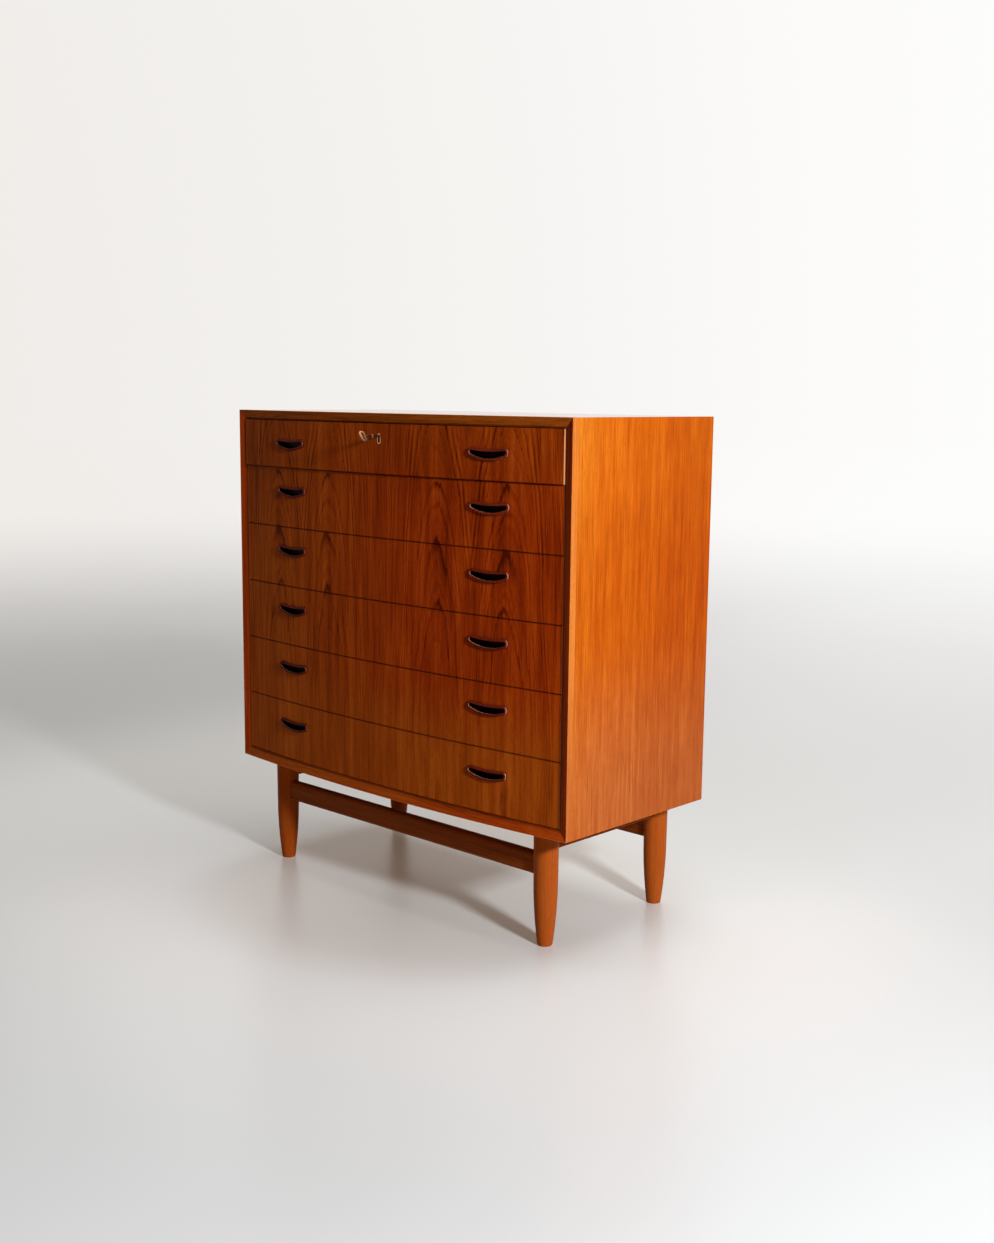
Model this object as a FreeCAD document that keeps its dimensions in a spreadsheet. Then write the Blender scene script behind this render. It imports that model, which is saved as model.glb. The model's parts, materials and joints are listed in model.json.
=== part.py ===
import FreeCAD, Part
import math
import os
import Sketcher

# Chest of six drawers with a bowed front, on four turned legs with stretchers.
# Lengths are in millimetres. X runs along the front, Y from the front to the back, Z up from the floor.
# The origin is on the floor, in the middle of the overall width and depth.

DRAWER_COUNT = 6
TAIL_COUNT_TOP_DRAWER = 2
TAIL_COUNT_LOWER_DRAWERS = 3
LEFT = -1
RIGHT = 1
EDGE_TOLERANCE = 0.001

SIZES = {
    # The case
    "case_width": 950.0,
    "case_depth": 420.0,
    "case_height": 765.0,
    "panel_thickness": 19.0,
    "bow_rise": 26.6,
    "back_thickness": 6.0,
    "back_recess": 0.5,
    "rebate_width": 9.0,
    # The solid edging round the front of the case
    "edging_depth": 16.0,
    "edging_bevel": 6.6,
    # The leg frame under the case
    "leg_height": 230.0,
    "leg_inset_side": 90.0,
    "leg_inset_front": 50.0,
    "leg_inset_back": 31.5,
    "leg_top_radius": 24.3,
    "leg_knee_radius": 23.4,
    "leg_foot_radius": 14.6,
    "leg_knee_drop": 100.0,
    "leg_foot_round": 1.5,
    "rail_drop": 51.0,
    "rail_height": 44.0,
    "rail_thickness": 22.0,
    "rail_round": 9.0,
    "side_rail_height": 44.0,
    "side_rail_round": 4.0,
    "tenon_length": 15.0,
    "tenon_thickness": 10.0,
    "tenon_shoulder": 7.0,
    # The drawer fronts
    "top_front_height": 97.5,
    "front_thickness": 20.0,
    "front_gap": 1.3,
    "drawer_recess": 1.0,
    "drawer_ajar": 4.0,
    # The drawer boxes
    "box_side_thickness": 12.0,
    "box_side_foot": 5.0,
    "box_side_drop": 12.0,
    "box_rear_space": 12.0,
    "tail_length": 13.0,
    "tail_pin_width": 10.0,
    "tail_flare": 2.6,
    "box_back_thickness": 10.0,
    "box_back_drop": 4.0,
    "box_back_inset": 10.0,
    "housing_depth": 5.0,
    "box_bottom_thickness": 4.0,
    "bottom_groove_depth": 5.0,
    "bottom_groove_lift": 7.0,
    # The runners that the drawers hang on
    "runner_height": 15.0,
    "runner_depth": 6.5,
    "runner_front_space": 18.0,
    "runner_rear_space": 9.2,
    "runner_slack": 0.4,
    # The carved pulls
    "pull_spacing": 571.0,
    "pull_drop": 46.0,
    "pull_width": 97.0,
    "pull_end_radius": 8.5,
    "pull_top_rise": 6.0,
    "pull_belly": 16.0,
    "pull_rim": 4.5,
    "pull_rim_round": 2.0,
    "pull_proud": 4.0,
    "pull_seat_depth": 14.0,
    "pull_floor": 3.0,
    # The lock and the key of the top drawer
    "key_drop": 24.0,
    "lock_width": 50.0,
    "lock_depth": 11.0,
    "lock_below_key": 16.0,
    "lock_wall": 1.6,
    "selvedge_width": 66.0,
    "selvedge_thickness": 2.0,
    "lock_pin_radius": 1.2,
    "bolt_width": 20.0,
    "bolt_thickness": 4.0,
    "bolt_plate_thickness": 2.0,
    "bolt_plate_width": 26.0,
    "bolt_head_above_key": 11.0,
    "bolt_plate_below_key": 10.0,
    "bolt_throw": 8.0,
    "bolt_back_travel": 2.4,
    "bolt_hole_depth": 12.0,
    "key_reach": 47.5,
    "key_shaft_radius": 2.5,
    "key_bore_radius": 1.5,
    "key_bore_depth": 9.0,
    "key_collar_radius": 4.0,
    "key_collar_length": 4.0,
    "key_collar_space": 14.0,
    "key_bit_reach": 8.0,
    "key_bit_width": 4.0,
    "key_bit_thickness": 2.0,
    "key_bow_length": 24.5,
    "key_bow_width": 14.0,
    "key_bow_bar": 3.0,
    "key_bow_thickness": 2.4,
    "key_tilt_degrees": 40.0,
    "plate_width": 9.5,
    "plate_height": 20.0,
    "plate_rim": 1.3,
    "plate_seat_depth": 3.0,
    "plate_proud": 0.5,
    "plate_above_key": 5.0,
    # The brads and screws
    "runner_pin_length": 20.0,
    "runner_pin_width": 1.8,
    "runner_pin_inset": 45.0,
    "back_screw_length": 16.0,
    "back_screw_radius": 1.5,
    "back_screw_head_radius": 3.0,
    "back_screw_edge": 5.0,
    "back_screw_inset": 60.0,
    "frame_screw_length": 46.0,
    "frame_screw_radius": 2.5,
    "frame_screw_head_radius": 5.0,
    "frame_screw_inset": 60.0,
    "frame_screw_bury": 12.0,
    "lock_screw_length": 9.0,
    "lock_screw_radius": 1.1,
    "lock_screw_head_radius": 2.3,
    "lock_screw_inset": 4.0,
    # Clearances
    "joint_clearance": 0.1,
    "screw_clearance": 0.1,
    "running_clearance": 0.3,
    "overrun": 5.0,
}


class Size:
    """A length that carries both its number and the sheet expression that gives it."""

    def __init__(self, text, number):
        self.text = text
        self.number = number

    def join(self, other, sign, number):
        return Size("(" + self.text + " " + sign + " " + other.text + ")", number)

    def __add__(self, other):
        other = as_size(other)
        return self.join(other, "+", self.number + other.number)

    def __sub__(self, other):
        other = as_size(other)
        return self.join(other, "-", self.number - other.number)

    def __mul__(self, other):
        other = as_size(other)
        return self.join(other, "*", self.number * other.number)

    def __truediv__(self, other):
        other = as_size(other)
        return self.join(other, "/", self.number / other.number)

    def __rmul__(self, other):
        return as_size(other) * self

    def __neg__(self):
        return Size("(0 - " + self.text + ")", -self.number)


def as_size(value):
    if isinstance(value, Size):
        return value
    return Size(repr(value), float(value))


def root(value):
    return Size("sqrt(" + value.text + ")", math.sqrt(value.number))


def arcsine(value):
    return Size("asin(" + value.text + ")", math.degrees(math.asin(value.number)))


doc = FreeCAD.newDocument("ChestOfDrawers")
sheet = doc.addObject("Spreadsheet::Sheet", "Sizes")
for row, (alias, number) in enumerate(SIZES.items(), start=1):
    sheet.set("A" + str(row), alias.replace("_", " "))
    sheet.set("B" + str(row), str(number))
    sheet.setAlias("B" + str(row), alias)
doc.recompute()

S = {}
for alias, number in SIZES.items():
    S[alias] = Size("Sizes." + alias, number)

ZERO = Size("0", 0.0)
subparts = []
cuts = []


def bind(item, path, size):
    item.setExpression(path, as_size(size).text)


def origin_item(body, role):
    return [item for item in body.Origin.OriginFeatures if item.Role == role][0]


def new_body(label):
    body = doc.addObject("PartDesign::Body", label)
    body.Label = label
    return body


def place(item, x=ZERO, y=ZERO, z=ZERO):
    bind(item, ".Placement.Base.x", x)
    bind(item, ".Placement.Base.y", y)
    bind(item, ".Placement.Base.z", z)


def turn_about(item, axis, angle):
    """Turns an item about an axis through its own origin."""
    rotation = FreeCAD.Rotation(FreeCAD.Vector(*axis), angle.number)
    item.Placement = FreeCAD.Placement(FreeCAD.Vector(), rotation)
    bind(item, ".Placement.Rotation.Angle", angle)


def keep(item, label):
    """Names a finished sub-part, whose label is also the name of its file."""
    item.Label = label
    subparts.append(item)
    return item


def attach(item, body, role, x=ZERO, y=ZERO, z=ZERO):
    item.AttachmentSupport = [(origin_item(body, role), "")]
    item.MapMode = "FlatFace"
    bind(item, ".AttachmentOffset.Base.x", x)
    bind(item, ".AttachmentOffset.Base.y", y)
    bind(item, ".AttachmentOffset.Base.z", z)


def new_sketch(body, role, offset=ZERO):
    """A sketch on one of the body's own planes, moved along that plane's normal."""
    sketch = body.newObject("Sketcher::SketchObject", "Sketch")
    attach(sketch, body, role, z=offset)
    return sketch


def pin_point(sketch, edge, end, x, y):
    """Holds one end or the centre of an edge at a place given by sizes."""
    index = sketch.addConstraint(Sketcher.Constraint("DistanceX", -1, 1, edge, end, x.number))
    bind(sketch, "Constraints[" + str(index) + "]", x)
    index = sketch.addConstraint(Sketcher.Constraint("DistanceY", -1, 1, edge, end, y.number))
    bind(sketch, "Constraints[" + str(index) + "]", y)


def arc_geometry(start, end, radius, turn):
    """The arc from start to end that turns left (1) or right (-1), always under a half circle."""
    first = FreeCAD.Vector(start[0].number, start[1].number, 0)
    last = FreeCAD.Vector(end[0].number, end[1].number, 0)
    chord = last - first
    across = FreeCAD.Vector(-chord.y, chord.x, 0).normalize()
    rise = math.sqrt(radius.number ** 2 - (chord.Length / 2) ** 2)
    centre = (first + last) / 2 + across * rise * turn
    circle = Part.Circle(centre, FreeCAD.Vector(0, 0, 1), radius.number)
    angles = []
    for point in (first, last):
        angles.append(math.atan2(point.y - centre.y, point.x - centre.x))
    if turn < 0:
        angles.reverse()
    return Part.ArcOfCircle(circle, angles[0], angles[1])


def draw_outline(sketch, path):
    """Draws a closed outline. Each step is (x, y), or (x, y, radius, turn) where an arc leaves that point."""
    starts = []
    ends = []
    for index, step in enumerate(path):
        following = path[(index + 1) % len(path)]
        if len(step) == 2:
            first = FreeCAD.Vector(step[0].number, step[1].number, 0)
            last = FreeCAD.Vector(following[0].number, following[1].number, 0)
            edge = sketch.addGeometry(Part.LineSegment(first, last), False)
            starts.append((edge, 1))
            ends.append((edge, 2))
        else:
            radius, turn = step[2], step[3]
            edge = sketch.addGeometry(arc_geometry(step, following, radius, turn), False)
            starts.append((edge, 1 if turn > 0 else 2))
            ends.append((edge, 2 if turn > 0 else 1))
    for index, step in enumerate(path):
        after = (index + 1) % len(path)
        edge, side = ends[index]
        next_edge, next_side = starts[after]
        sketch.addConstraint(Sketcher.Constraint("Coincident", edge, side, next_edge, next_side))
        pin_point(sketch, starts[index][0], starts[index][1], step[0], step[1])
        if len(step) > 2:
            radius_index = sketch.addConstraint(Sketcher.Constraint("Radius", edge, step[2].number))
            bind(sketch, "Constraints[" + str(radius_index) + "]", step[2])
    return sketch


def draw_slot(sketch, x, low, high, width):
    """Draws an upright slot with round ends."""
    half = width / 2
    path = [
        (x + half, low + half),
        (x + half, high - half, half, 1),
        (x - half, high - half),
        (x - half, low + half, half, 1),
    ]
    edges = []
    for index, step in enumerate(path):
        following = path[(index + 1) % len(path)]
        first = FreeCAD.Vector(step[0].number, step[1].number, 0)
        last = FreeCAD.Vector(following[0].number, following[1].number, 0)
        if len(step) == 2:
            edges.append(sketch.addGeometry(Part.LineSegment(first, last), False))
        else:
            circle = Part.Circle((first + last) / 2, FreeCAD.Vector(0, 0, 1), half.number)
            upper = first.x > last.x
            angles = (0.0, math.pi) if upper else (math.pi, 2 * math.pi)
            edges.append(sketch.addGeometry(Part.ArcOfCircle(circle, angles[0], angles[1]), False))
    for index, edge in enumerate(edges):
        following = edges[(index + 1) % len(edges)]
        sketch.addConstraint(Sketcher.Constraint("Coincident", edge, 2, following, 1))
        pin_point(sketch, edge, 1, path[index][0], path[index][1])
    for index, height in ((1, high - half), (3, low + half)):
        level = sketch.addConstraint(Sketcher.Constraint("DistanceY", -1, 1, edges[index], 3, height.number))
        bind(sketch, "Constraints[" + str(level) + "]", height)
    return sketch


def pad(body, sketch, length, backwards=False):
    """Adds the sketch's prism along its normal, or the other way if backwards."""
    feature = body.newObject("PartDesign::Pad", "Pad")
    feature.Profile = sketch
    bind(feature, "Length", length)
    feature.Reversed = backwards
    return feature


def pocket(body, sketch, length, along_normal=False):
    """Cuts the sketch's prism against its normal, or along it."""
    feature = body.newObject("PartDesign::Pocket", "Pocket")
    feature.Profile = sketch
    bind(feature, "Length", length)
    feature.Reversed = along_normal
    cuts.append(feature)
    return feature


def block(body, x, y, z, cutting=False):
    """Adds or cuts a square block, given its two limits along each axis."""
    kind = "PartDesign::SubtractiveBox" if cutting else "PartDesign::AdditiveBox"
    feature = body.newObject(kind, "Block")
    attach(feature, body, "XY_Plane", x[0], y[0], z[0])
    bind(feature, "Length", x[1] - x[0])
    bind(feature, "Width", y[1] - y[0])
    bind(feature, "Height", z[1] - z[0])
    if cutting:
        cuts.append(feature)
    return feature


def across(side, near, far):
    """Limits along X of something between two distances from the middle, on the left or right."""
    if side == RIGHT:
        return (near, far)
    return (-far, -near)


def fillet(body, base, radius, chosen):
    """Rounds the edges of a feature that the given test picks."""
    doc.recompute()
    names = []
    for index, edge in enumerate(base.Shape.Edges, start=1):
        if chosen(edge):
            names.append("Edge" + str(index))
    feature = body.newObject("PartDesign::Fillet", "Fillet")
    feature.Base = (base, names)
    bind(feature, "Radius", radius)
    return feature


def mirror(body, features):
    """Repeats features on the other side of the middle plane across X."""
    feature = body.newObject("PartDesign::Mirrored", "Mirrored")
    feature.Originals = features
    feature.MirrorPlane = (origin_item(body, "YZ_Plane"), [""])
    body.Tip = feature
    return feature


def compound(label, items):
    group = doc.addObject("Part::Compound", label)
    group.Links = items
    return group


def cut_away(base, tool, label):
    result = doc.addObject("Part::Cut", label)
    result.Base = base
    result.Tool = tool
    return result


# Places shared by several pieces
half_width = S["case_width"] / 2
inner_half = half_width - S["panel_thickness"]
front_reach = (S["bow_rise"] - S["edging_bevel"] - S["drawer_recess"] + S["drawer_ajar"] + S["key_reach"])
corner_y = (front_reach - S["case_depth"]) / 2
back_y = corner_y + S["case_depth"]
case_low = S["leg_height"]
case_high = case_low + S["case_height"]
inside_low = case_low + S["panel_thickness"]
inside_high = case_high - S["panel_thickness"]
bow_radius = (half_width * half_width + S["bow_rise"] * S["bow_rise"]) / (2 * S["bow_rise"])
bow_centre = corner_y - S["bow_rise"] + bow_radius


def bow_y(setback, x):
    """Y of the bowed line that lies a setback behind the front edge of the case, at a given X."""
    radius = bow_radius - setback
    return bow_centre - root(radius * radius - x * x)


edging_back = bow_y(S["edging_depth"], half_width)
rebate_y = back_y - S["back_recess"] - S["back_thickness"] - S["joint_clearance"]
back_margin = S["panel_thickness"] - S["rebate_width"]


# Brads and screws
def brad(name, x, y, z, direction, kind, grow):
    """A square nail with no head that starts at the given place and points along X."""
    nail = doc.addObject("Part::Box", name)
    length = S[kind + "_length"] + grow
    width = S[kind + "_width"] + 2 * grow
    bind(nail, "Length", length)
    bind(nail, "Width", width)
    bind(nail, "Height", width)
    start = x if direction[0] > 0 else x - length
    place(nail, start, y - width / 2, z - width / 2)
    return nail


def screw(name, x, y, z, direction, kind, grow):
    """A countersunk screw whose head is flush at the given place."""
    shank = doc.addObject("Part::Cylinder", name + "_shank")
    bind(shank, "Radius", S[kind + "_radius"] + grow)
    bind(shank, "Height", S[kind + "_length"] + grow)
    turn = FreeCAD.Rotation(FreeCAD.Vector(0, 0, 1), FreeCAD.Vector(*direction))
    shank.Placement = FreeCAD.Placement(FreeCAD.Vector(), turn)
    place(shank, x, y, z)
    head = S[kind + "_head_radius"] + grow
    cone = doc.addObject("Part::Cone", name + "_head")
    bind(cone, "Radius1", head)
    bind(cone, "Radius2", S[kind + "_radius"] + grow)
    bind(cone, "Height", head - S[kind + "_radius"] - grow)
    cone.Placement = shank.Placement
    place(cone, x, y, z)
    joined = doc.addObject("Part::Fuse", name)
    joined.Base = shank
    joined.Tool = cone
    return joined


def fastener_group(label, make, places, direction, kind, grow=ZERO):
    items = []
    for index, point in enumerate(places):
        items.append(make(label + "_" + str(index), *point, direction, kind, grow))
    return compound(label, items)


# Case panels
def mitred_panel(label, side):
    """An upright side panel whose top and bottom ends are mitred."""
    body = new_body(label)
    outer = side * half_width
    inner = side * inner_half
    sketch = new_sketch(body, "XZ_Plane", -back_y)
    draw_outline(sketch, [(outer, case_low), (outer, case_high), (inner, inside_high), (inner, inside_low)])
    pad(body, sketch, back_y - edging_back)
    rebate = across(side, inner_half - S["overrun"], inner_half + S["rebate_width"])
    heights = (case_low + back_margin, case_high - back_margin)
    block(body, rebate, (rebate_y, back_y + S["overrun"]), heights, True)
    return body


def level_panel(label, outer, inner, rebate):
    """The top or the bottom panel: mitred ends, a bowed front edge and a rebate for the back."""
    body = new_body(label)
    front = bow_y(S["edging_depth"], ZERO)
    sketch = new_sketch(body, "XZ_Plane", -back_y)
    draw_outline(sketch, [
        (half_width, outer),
        (inner_half, inner),
        (-inner_half, inner),
        (-half_width, outer),
    ])
    pad(body, sketch, back_y - front)
    past = half_width + S["overrun"]
    past_y = bow_y(S["edging_depth"], past)
    trim = new_sketch(body, "XY_Plane", case_high + S["overrun"])
    radius = bow_radius - S["edging_depth"]
    draw_outline(trim, [
        (-past, front - S["overrun"]),
        (past, front - S["overrun"]),
        (past, past_y, radius, -1),
        (-past, past_y),
    ])
    pocket(body, trim, S["case_height"] + 2 * S["overrun"])
    reach = half_width - back_margin
    block(body, (-reach, reach), (rebate_y, back_y + S["overrun"]), rebate, True)
    return body


def edging_cut(body, outline):
    """Mitres an edging piece with a cut that runs from the front to the back."""
    sketch = new_sketch(body, "XZ_Plane", -edging_back - S["overrun"])
    draw_outline(sketch, outline)
    length = edging_back - bow_y(ZERO, ZERO) + 2 * S["overrun"]
    return pocket(body, sketch, length, True)


def bowed_edging(label, outer, inner, beyond):
    """The top or bottom edging, turned about the centre of the bow."""
    body = new_body(label)
    profile = new_sketch(body, "YZ_Plane")
    face = bow_y(ZERO, ZERO)
    draw_outline(profile, [
        (face, outer),
        (bow_y(S["edging_bevel"], ZERO), inner),
        (bow_y(S["edging_depth"], ZERO), inner),
        (bow_y(S["edging_depth"], ZERO), outer),
    ])
    start = FreeCAD.Vector(bow_centre.number, case_low.number, 0)
    end = FreeCAD.Vector(bow_centre.number, case_high.number, 0)
    axis = profile.addGeometry(Part.LineSegment(start, end), True)
    pin_point(profile, axis, 1, bow_centre, case_low)
    pin_point(profile, axis, 2, bow_centre, case_high)
    bend = body.newObject("PartDesign::Revolution", "Bend")
    bend.Profile = profile
    bend.ReferenceAxis = (profile, ["Axis0"])
    bind(bend, "Angle", 2 * arcsine((half_width + S["overrun"]) / (bow_radius - S["edging_depth"])))
    bend.Midplane = True
    slope = beyond - outer
    for side in (LEFT, RIGHT):
        far = side * (half_width + S["panel_thickness"])
        edging_cut(body, [
            (side * half_width, outer),
            (side * inner_half, inner),
            (side * inner_half, inner - slope),
            (far, inner - slope),
            (far, outer),
        ])
    return body


def upright_edging(label, side):
    """A side edging: straight, bevelled on its face and mitred at both ends."""
    body = new_body(label)
    outer = side * half_width
    inner = side * inner_half
    profile = new_sketch(body, "XY_Plane", case_low)
    draw_outline(profile, [
        (outer, corner_y),
        (inner, bow_y(S["edging_bevel"], inner_half)),
        (inner, edging_back),
        (outer, edging_back),
    ])
    pad(body, profile, S["case_height"])
    past = side * (inner_half - S["overrun"])
    for outside, inside, way in ((case_low, inside_low, -1), (case_high, inside_high, 1)):
        edging_cut(body, [
            (outer, outside),
            (inner, inside),
            (past, inside),
            (past, outside + way * S["overrun"]),
            (outer, outside + way * S["overrun"]),
        ])
    return body


low_rebate = (inside_low - S["rebate_width"], inside_low + S["overrun"])
high_rebate = (inside_high - S["overrun"], inside_high + S["rebate_width"])
top_blank = level_panel("top_blank", case_high, inside_high, high_rebate)
bottom_blank = level_panel("bottom_blank", case_low, inside_low, low_rebate)
side_blanks = {LEFT: mitred_panel("left_blank", LEFT), RIGHT: mitred_panel("right_blank", RIGHT)}

keep(compound("edging", [
    bowed_edging("edging_top", case_high, inside_high, case_high + S["overrun"]),
    bowed_edging("edging_bottom", case_low, inside_low, case_low - S["overrun"]),
    upright_edging("edging_left", LEFT),
    upright_edging("edging_right", RIGHT),
]), "front_edging")

back_half = half_width - back_margin - S["joint_clearance"]
back_low = case_low + back_margin + S["joint_clearance"]
back_high = case_high - back_margin - S["joint_clearance"]
back_blank = new_body("back_blank")
back_outside = back_y - S["back_recess"]
back_inside = back_outside - S["back_thickness"]
block(back_blank, (-back_half, back_half), (back_inside, back_outside), (back_low, back_high))

# Screws through the back panel into the rebates of the case panels
places = []
for side in (LEFT, RIGHT):
    for z in (back_low + S["back_screw_inset"], back_high - S["back_screw_inset"]):
        places.append((side * (back_half - S["back_screw_edge"]), back_outside, z))
    for z in (back_low + S["back_screw_edge"], back_high - S["back_screw_edge"]):
        places.append((side * (back_half - S["back_screw_inset"]), back_outside, z))
keep(fastener_group("back_screws", screw, places, (0, -1, 0), "back_screw"), "back_panel_screws")
back_voids = fastener_group("back_holes", screw, places, (0, -1, 0), "back_screw", S["screw_clearance"])
keep(cut_away(back_blank, back_voids, "back"), "back_panel")

# Drawer levels, counted from the top drawer
opening_height = inside_high - inside_low - (DRAWER_COUNT + 1) * S["front_gap"]
lower_height = (opening_height - S["top_front_height"]) / (DRAWER_COUNT - 1)


def drawer_low(number):
    """Lower edge of a drawer's front: drawer 1 is the top one."""
    steps = DRAWER_COUNT - number
    return inside_low + S["front_gap"] + steps * (lower_height + S["front_gap"])


def drawer_height(number):
    return S["top_front_height"] if number == 1 else lower_height


def drawer_shift(number):
    """The top drawer stands a little open."""
    return -S["drawer_ajar"] if number == 1 else ZERO


# Measures across a drawer, in its own frame: Z from the lower edge of its front
face_setback = S["edging_bevel"] + S["drawer_recess"]
inner_setback = face_setback + S["front_thickness"]
front_half = inner_half - S["front_gap"]
box_inner_half = front_half - S["box_side_thickness"]
land_y = bow_y(inner_setback, box_inner_half)
box_rear = back_y - S["back_recess"] - S["back_thickness"] - S["box_rear_space"]
groove_low = S["box_side_foot"] + S["bottom_groove_lift"]
groove_high = groove_low + S["box_bottom_thickness"] + S["joint_clearance"]
runner_front = land_y + S["runner_front_space"]
runner_rear = back_y - S["back_recess"] - S["back_thickness"] - S["runner_rear_space"]
rear_board_back = box_rear - S["box_back_inset"]
rear_board_front = rear_board_back - S["box_back_thickness"]


def runner_low(number):
    return (drawer_height(number) - S["runner_height"]) / 2


def tails(number, height_low, height_high, ease):
    """Y and Z of the dovetails' corners, from the lowest tail up, as they meet the shoulder line."""
    count = TAIL_COUNT_TOP_DRAWER if number == 1 else TAIL_COUNT_LOWER_DRAWERS
    pitch = (height_high - height_low) / count
    points = []
    for index in range(count):
        low = height_low + index * pitch + S["tail_pin_width"] / 2 + S["tail_flare"] - ease
        high = height_low + (index + 1) * pitch - S["tail_pin_width"] / 2 - S["tail_flare"] + ease
        points.append((low, high))
    return points


def mouth(width, end_radius, top_rise, belly):
    """Outline of a pull: two end arcs, a sagging upper edge and a full lower edge, all tangent."""
    end_x = width / 2 - end_radius
    top_radius = ((end_x * end_x + top_rise * top_rise - end_radius * end_radius)
                  / (2 * (end_radius - top_rise)))
    low_radius = ((end_x * end_x + belly * belly - end_radius * end_radius)
                  / (2 * (belly - end_radius)))
    top_x = end_x - end_radius * end_x / (top_radius + end_radius)
    top_z = end_radius * (top_rise + top_radius) / (top_radius + end_radius)
    low_x = end_x + end_radius * end_x / (low_radius - end_radius)
    low_z = -end_radius * (low_radius - belly) / (low_radius - end_radius)
    return [
        (low_x, low_z, end_radius, 1),
        (top_x, top_z, top_radius, -1),
        (-top_x, top_z, end_radius, 1),
        (-low_x, low_z, low_radius, 1),
    ]


pull_x = S["pull_spacing"] / 2
pull_radius = bow_radius - face_setback
pull_angle = arcsine(pull_x / pull_radius)
pull_face_y = bow_y(face_setback, pull_x)
pull_lean = pull_x / pull_radius
pull_upright = root(as_size(1) - pull_lean * pull_lean)


def pull_height(number):
    """Height of the middle of the pull's ends over the lower edge of the drawer's front."""
    return drawer_height(number) - S["pull_drop"]


def make_front(number):
    """A bowed drawer front with sockets, seats for the pulls and a groove for the bottom."""
    body = new_body("drawer_" + str(number) + "_front_blank")
    height = drawer_height(number)
    face_radius = bow_radius - face_setback
    inner_radius = bow_radius - inner_setback
    plan = new_sketch(body, "XY_Plane")
    draw_outline(plan, [
        (-front_half, bow_y(face_setback, front_half), face_radius, 1),
        (front_half, bow_y(face_setback, front_half)),
        (front_half, bow_y(inner_setback, front_half), inner_radius, -1),
        (-front_half, bow_y(inner_setback, front_half)),
    ])
    pad(body, plan, height)
    past = S["overrun"]
    land = block(body, (box_inner_half, front_half + past), (land_y, land_y + S["front_thickness"]),
                 (-past, height + past), True)
    sockets = new_sketch(body, "YZ_Plane", front_half + past)
    side_low = S["box_side_foot"]
    side_high = height - S["box_side_drop"]
    ease = S["joint_clearance"]
    tip_y = land_y - S["tail_length"] - ease
    flare = S["tail_flare"]
    for low, high in tails(number, side_low, side_high, ease):
        draw_outline(sockets, [
            (land_y, low),
            (tip_y, low - flare),
            (tip_y, high + flare),
            (land_y, high),
        ])
    socket_cut = pocket(body, sockets, S["box_side_thickness"] + past + ease)
    seat = new_sketch(body, "XZ_Plane")
    turn = FreeCAD.Rotation(FreeCAD.Vector(0, 1, 0), pull_angle.number)
    seat.AttachmentOffset = FreeCAD.Placement(FreeCAD.Vector(), turn)
    bind(seat, ".AttachmentOffset.Base.x", pull_x + past * pull_lean)
    bind(seat, ".AttachmentOffset.Base.y", pull_height(number))
    bind(seat, ".AttachmentOffset.Base.z", past * pull_upright - pull_face_y)
    bind(seat, ".AttachmentOffset.Rotation.Angle", pull_angle)
    draw_outline(seat, mouth(S["pull_width"] + 2 * ease, S["pull_end_radius"] + ease,
                             S["pull_top_rise"] + ease, S["pull_belly"] + ease))
    seat_cut = pocket(body, seat, S["pull_seat_depth"] + past + ease)
    mirror(body, [land, socket_cut, seat_cut])
    groove = new_sketch(body, "XY_Plane", groove_low)
    groove_setback = inner_setback - S["bottom_groove_depth"]
    groove_radius = bow_radius - groove_setback
    draw_outline(groove, [
        (-box_inner_half, bow_y(groove_setback, box_inner_half), groove_radius, 1),
        (box_inner_half, bow_y(groove_setback, box_inner_half)),
        (box_inner_half, land_y + past),
        (-box_inner_half, land_y + past),
    ])
    pocket(body, groove, groove_high - groove_low, True)
    if number == 1:
        cut_lock_seat(body)
    place(body, y=drawer_shift(number), z=drawer_low(number))
    return body


def make_side(number, side):
    """A drawer side with dovetails at the front, a runner groove outside and two grooves inside."""
    label = "drawer_" + str(number) + "_side_" + ("left" if side == LEFT else "right")
    body = new_body(label)
    low = S["box_side_foot"]
    high = drawer_height(number) - S["box_side_drop"]
    outline = [(box_rear, high), (box_rear, low), (land_y, low)]
    tip_y = land_y - S["tail_length"]
    flare = S["tail_flare"]
    for tail_low, tail_high in tails(number, low, high, ZERO):
        outline.append((land_y, tail_low))
        outline.append((tip_y, tail_low - flare))
        outline.append((tip_y, tail_high + flare))
        outline.append((land_y, tail_high))
    outline.append((land_y, high))
    profile = new_sketch(body, "YZ_Plane", side * front_half)
    draw_outline(profile, outline)
    pad(body, profile, S["box_side_thickness"], side == RIGHT)
    past = S["overrun"]
    runner_depth = S["runner_depth"] + S["running_clearance"]
    slot_low = runner_low(number) - S["runner_slack"]
    slot_high = runner_low(number) + S["runner_height"] + S["running_clearance"]
    block(body, across(side, front_half - runner_depth, front_half + past),
          (runner_front - S["running_clearance"], box_rear + past), (slot_low, slot_high), True)
    inside = across(side, box_inner_half - past, box_inner_half + S["bottom_groove_depth"])
    block(body, inside, (land_y - past, box_rear + past), (groove_low, groove_high), True)
    housing = across(side, box_inner_half - past, box_inner_half + S["housing_depth"])
    ease = S["joint_clearance"]
    block(body, housing, (rear_board_front - ease, rear_board_back + ease),
          (groove_high - ease, high + past), True)
    place(body, y=drawer_shift(number), z=drawer_low(number))
    return keep(body, label)


def make_back(number):
    label = "drawer_" + str(number) + "_back"
    body = new_body(label)
    reach = box_inner_half + S["housing_depth"] - S["joint_clearance"]
    high = drawer_height(number) - S["box_side_drop"] - S["box_back_drop"]
    block(body, (-reach, reach), (rear_board_front, rear_board_back), (groove_high, high))
    place(body, y=drawer_shift(number), z=drawer_low(number))
    return keep(body, label)


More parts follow.
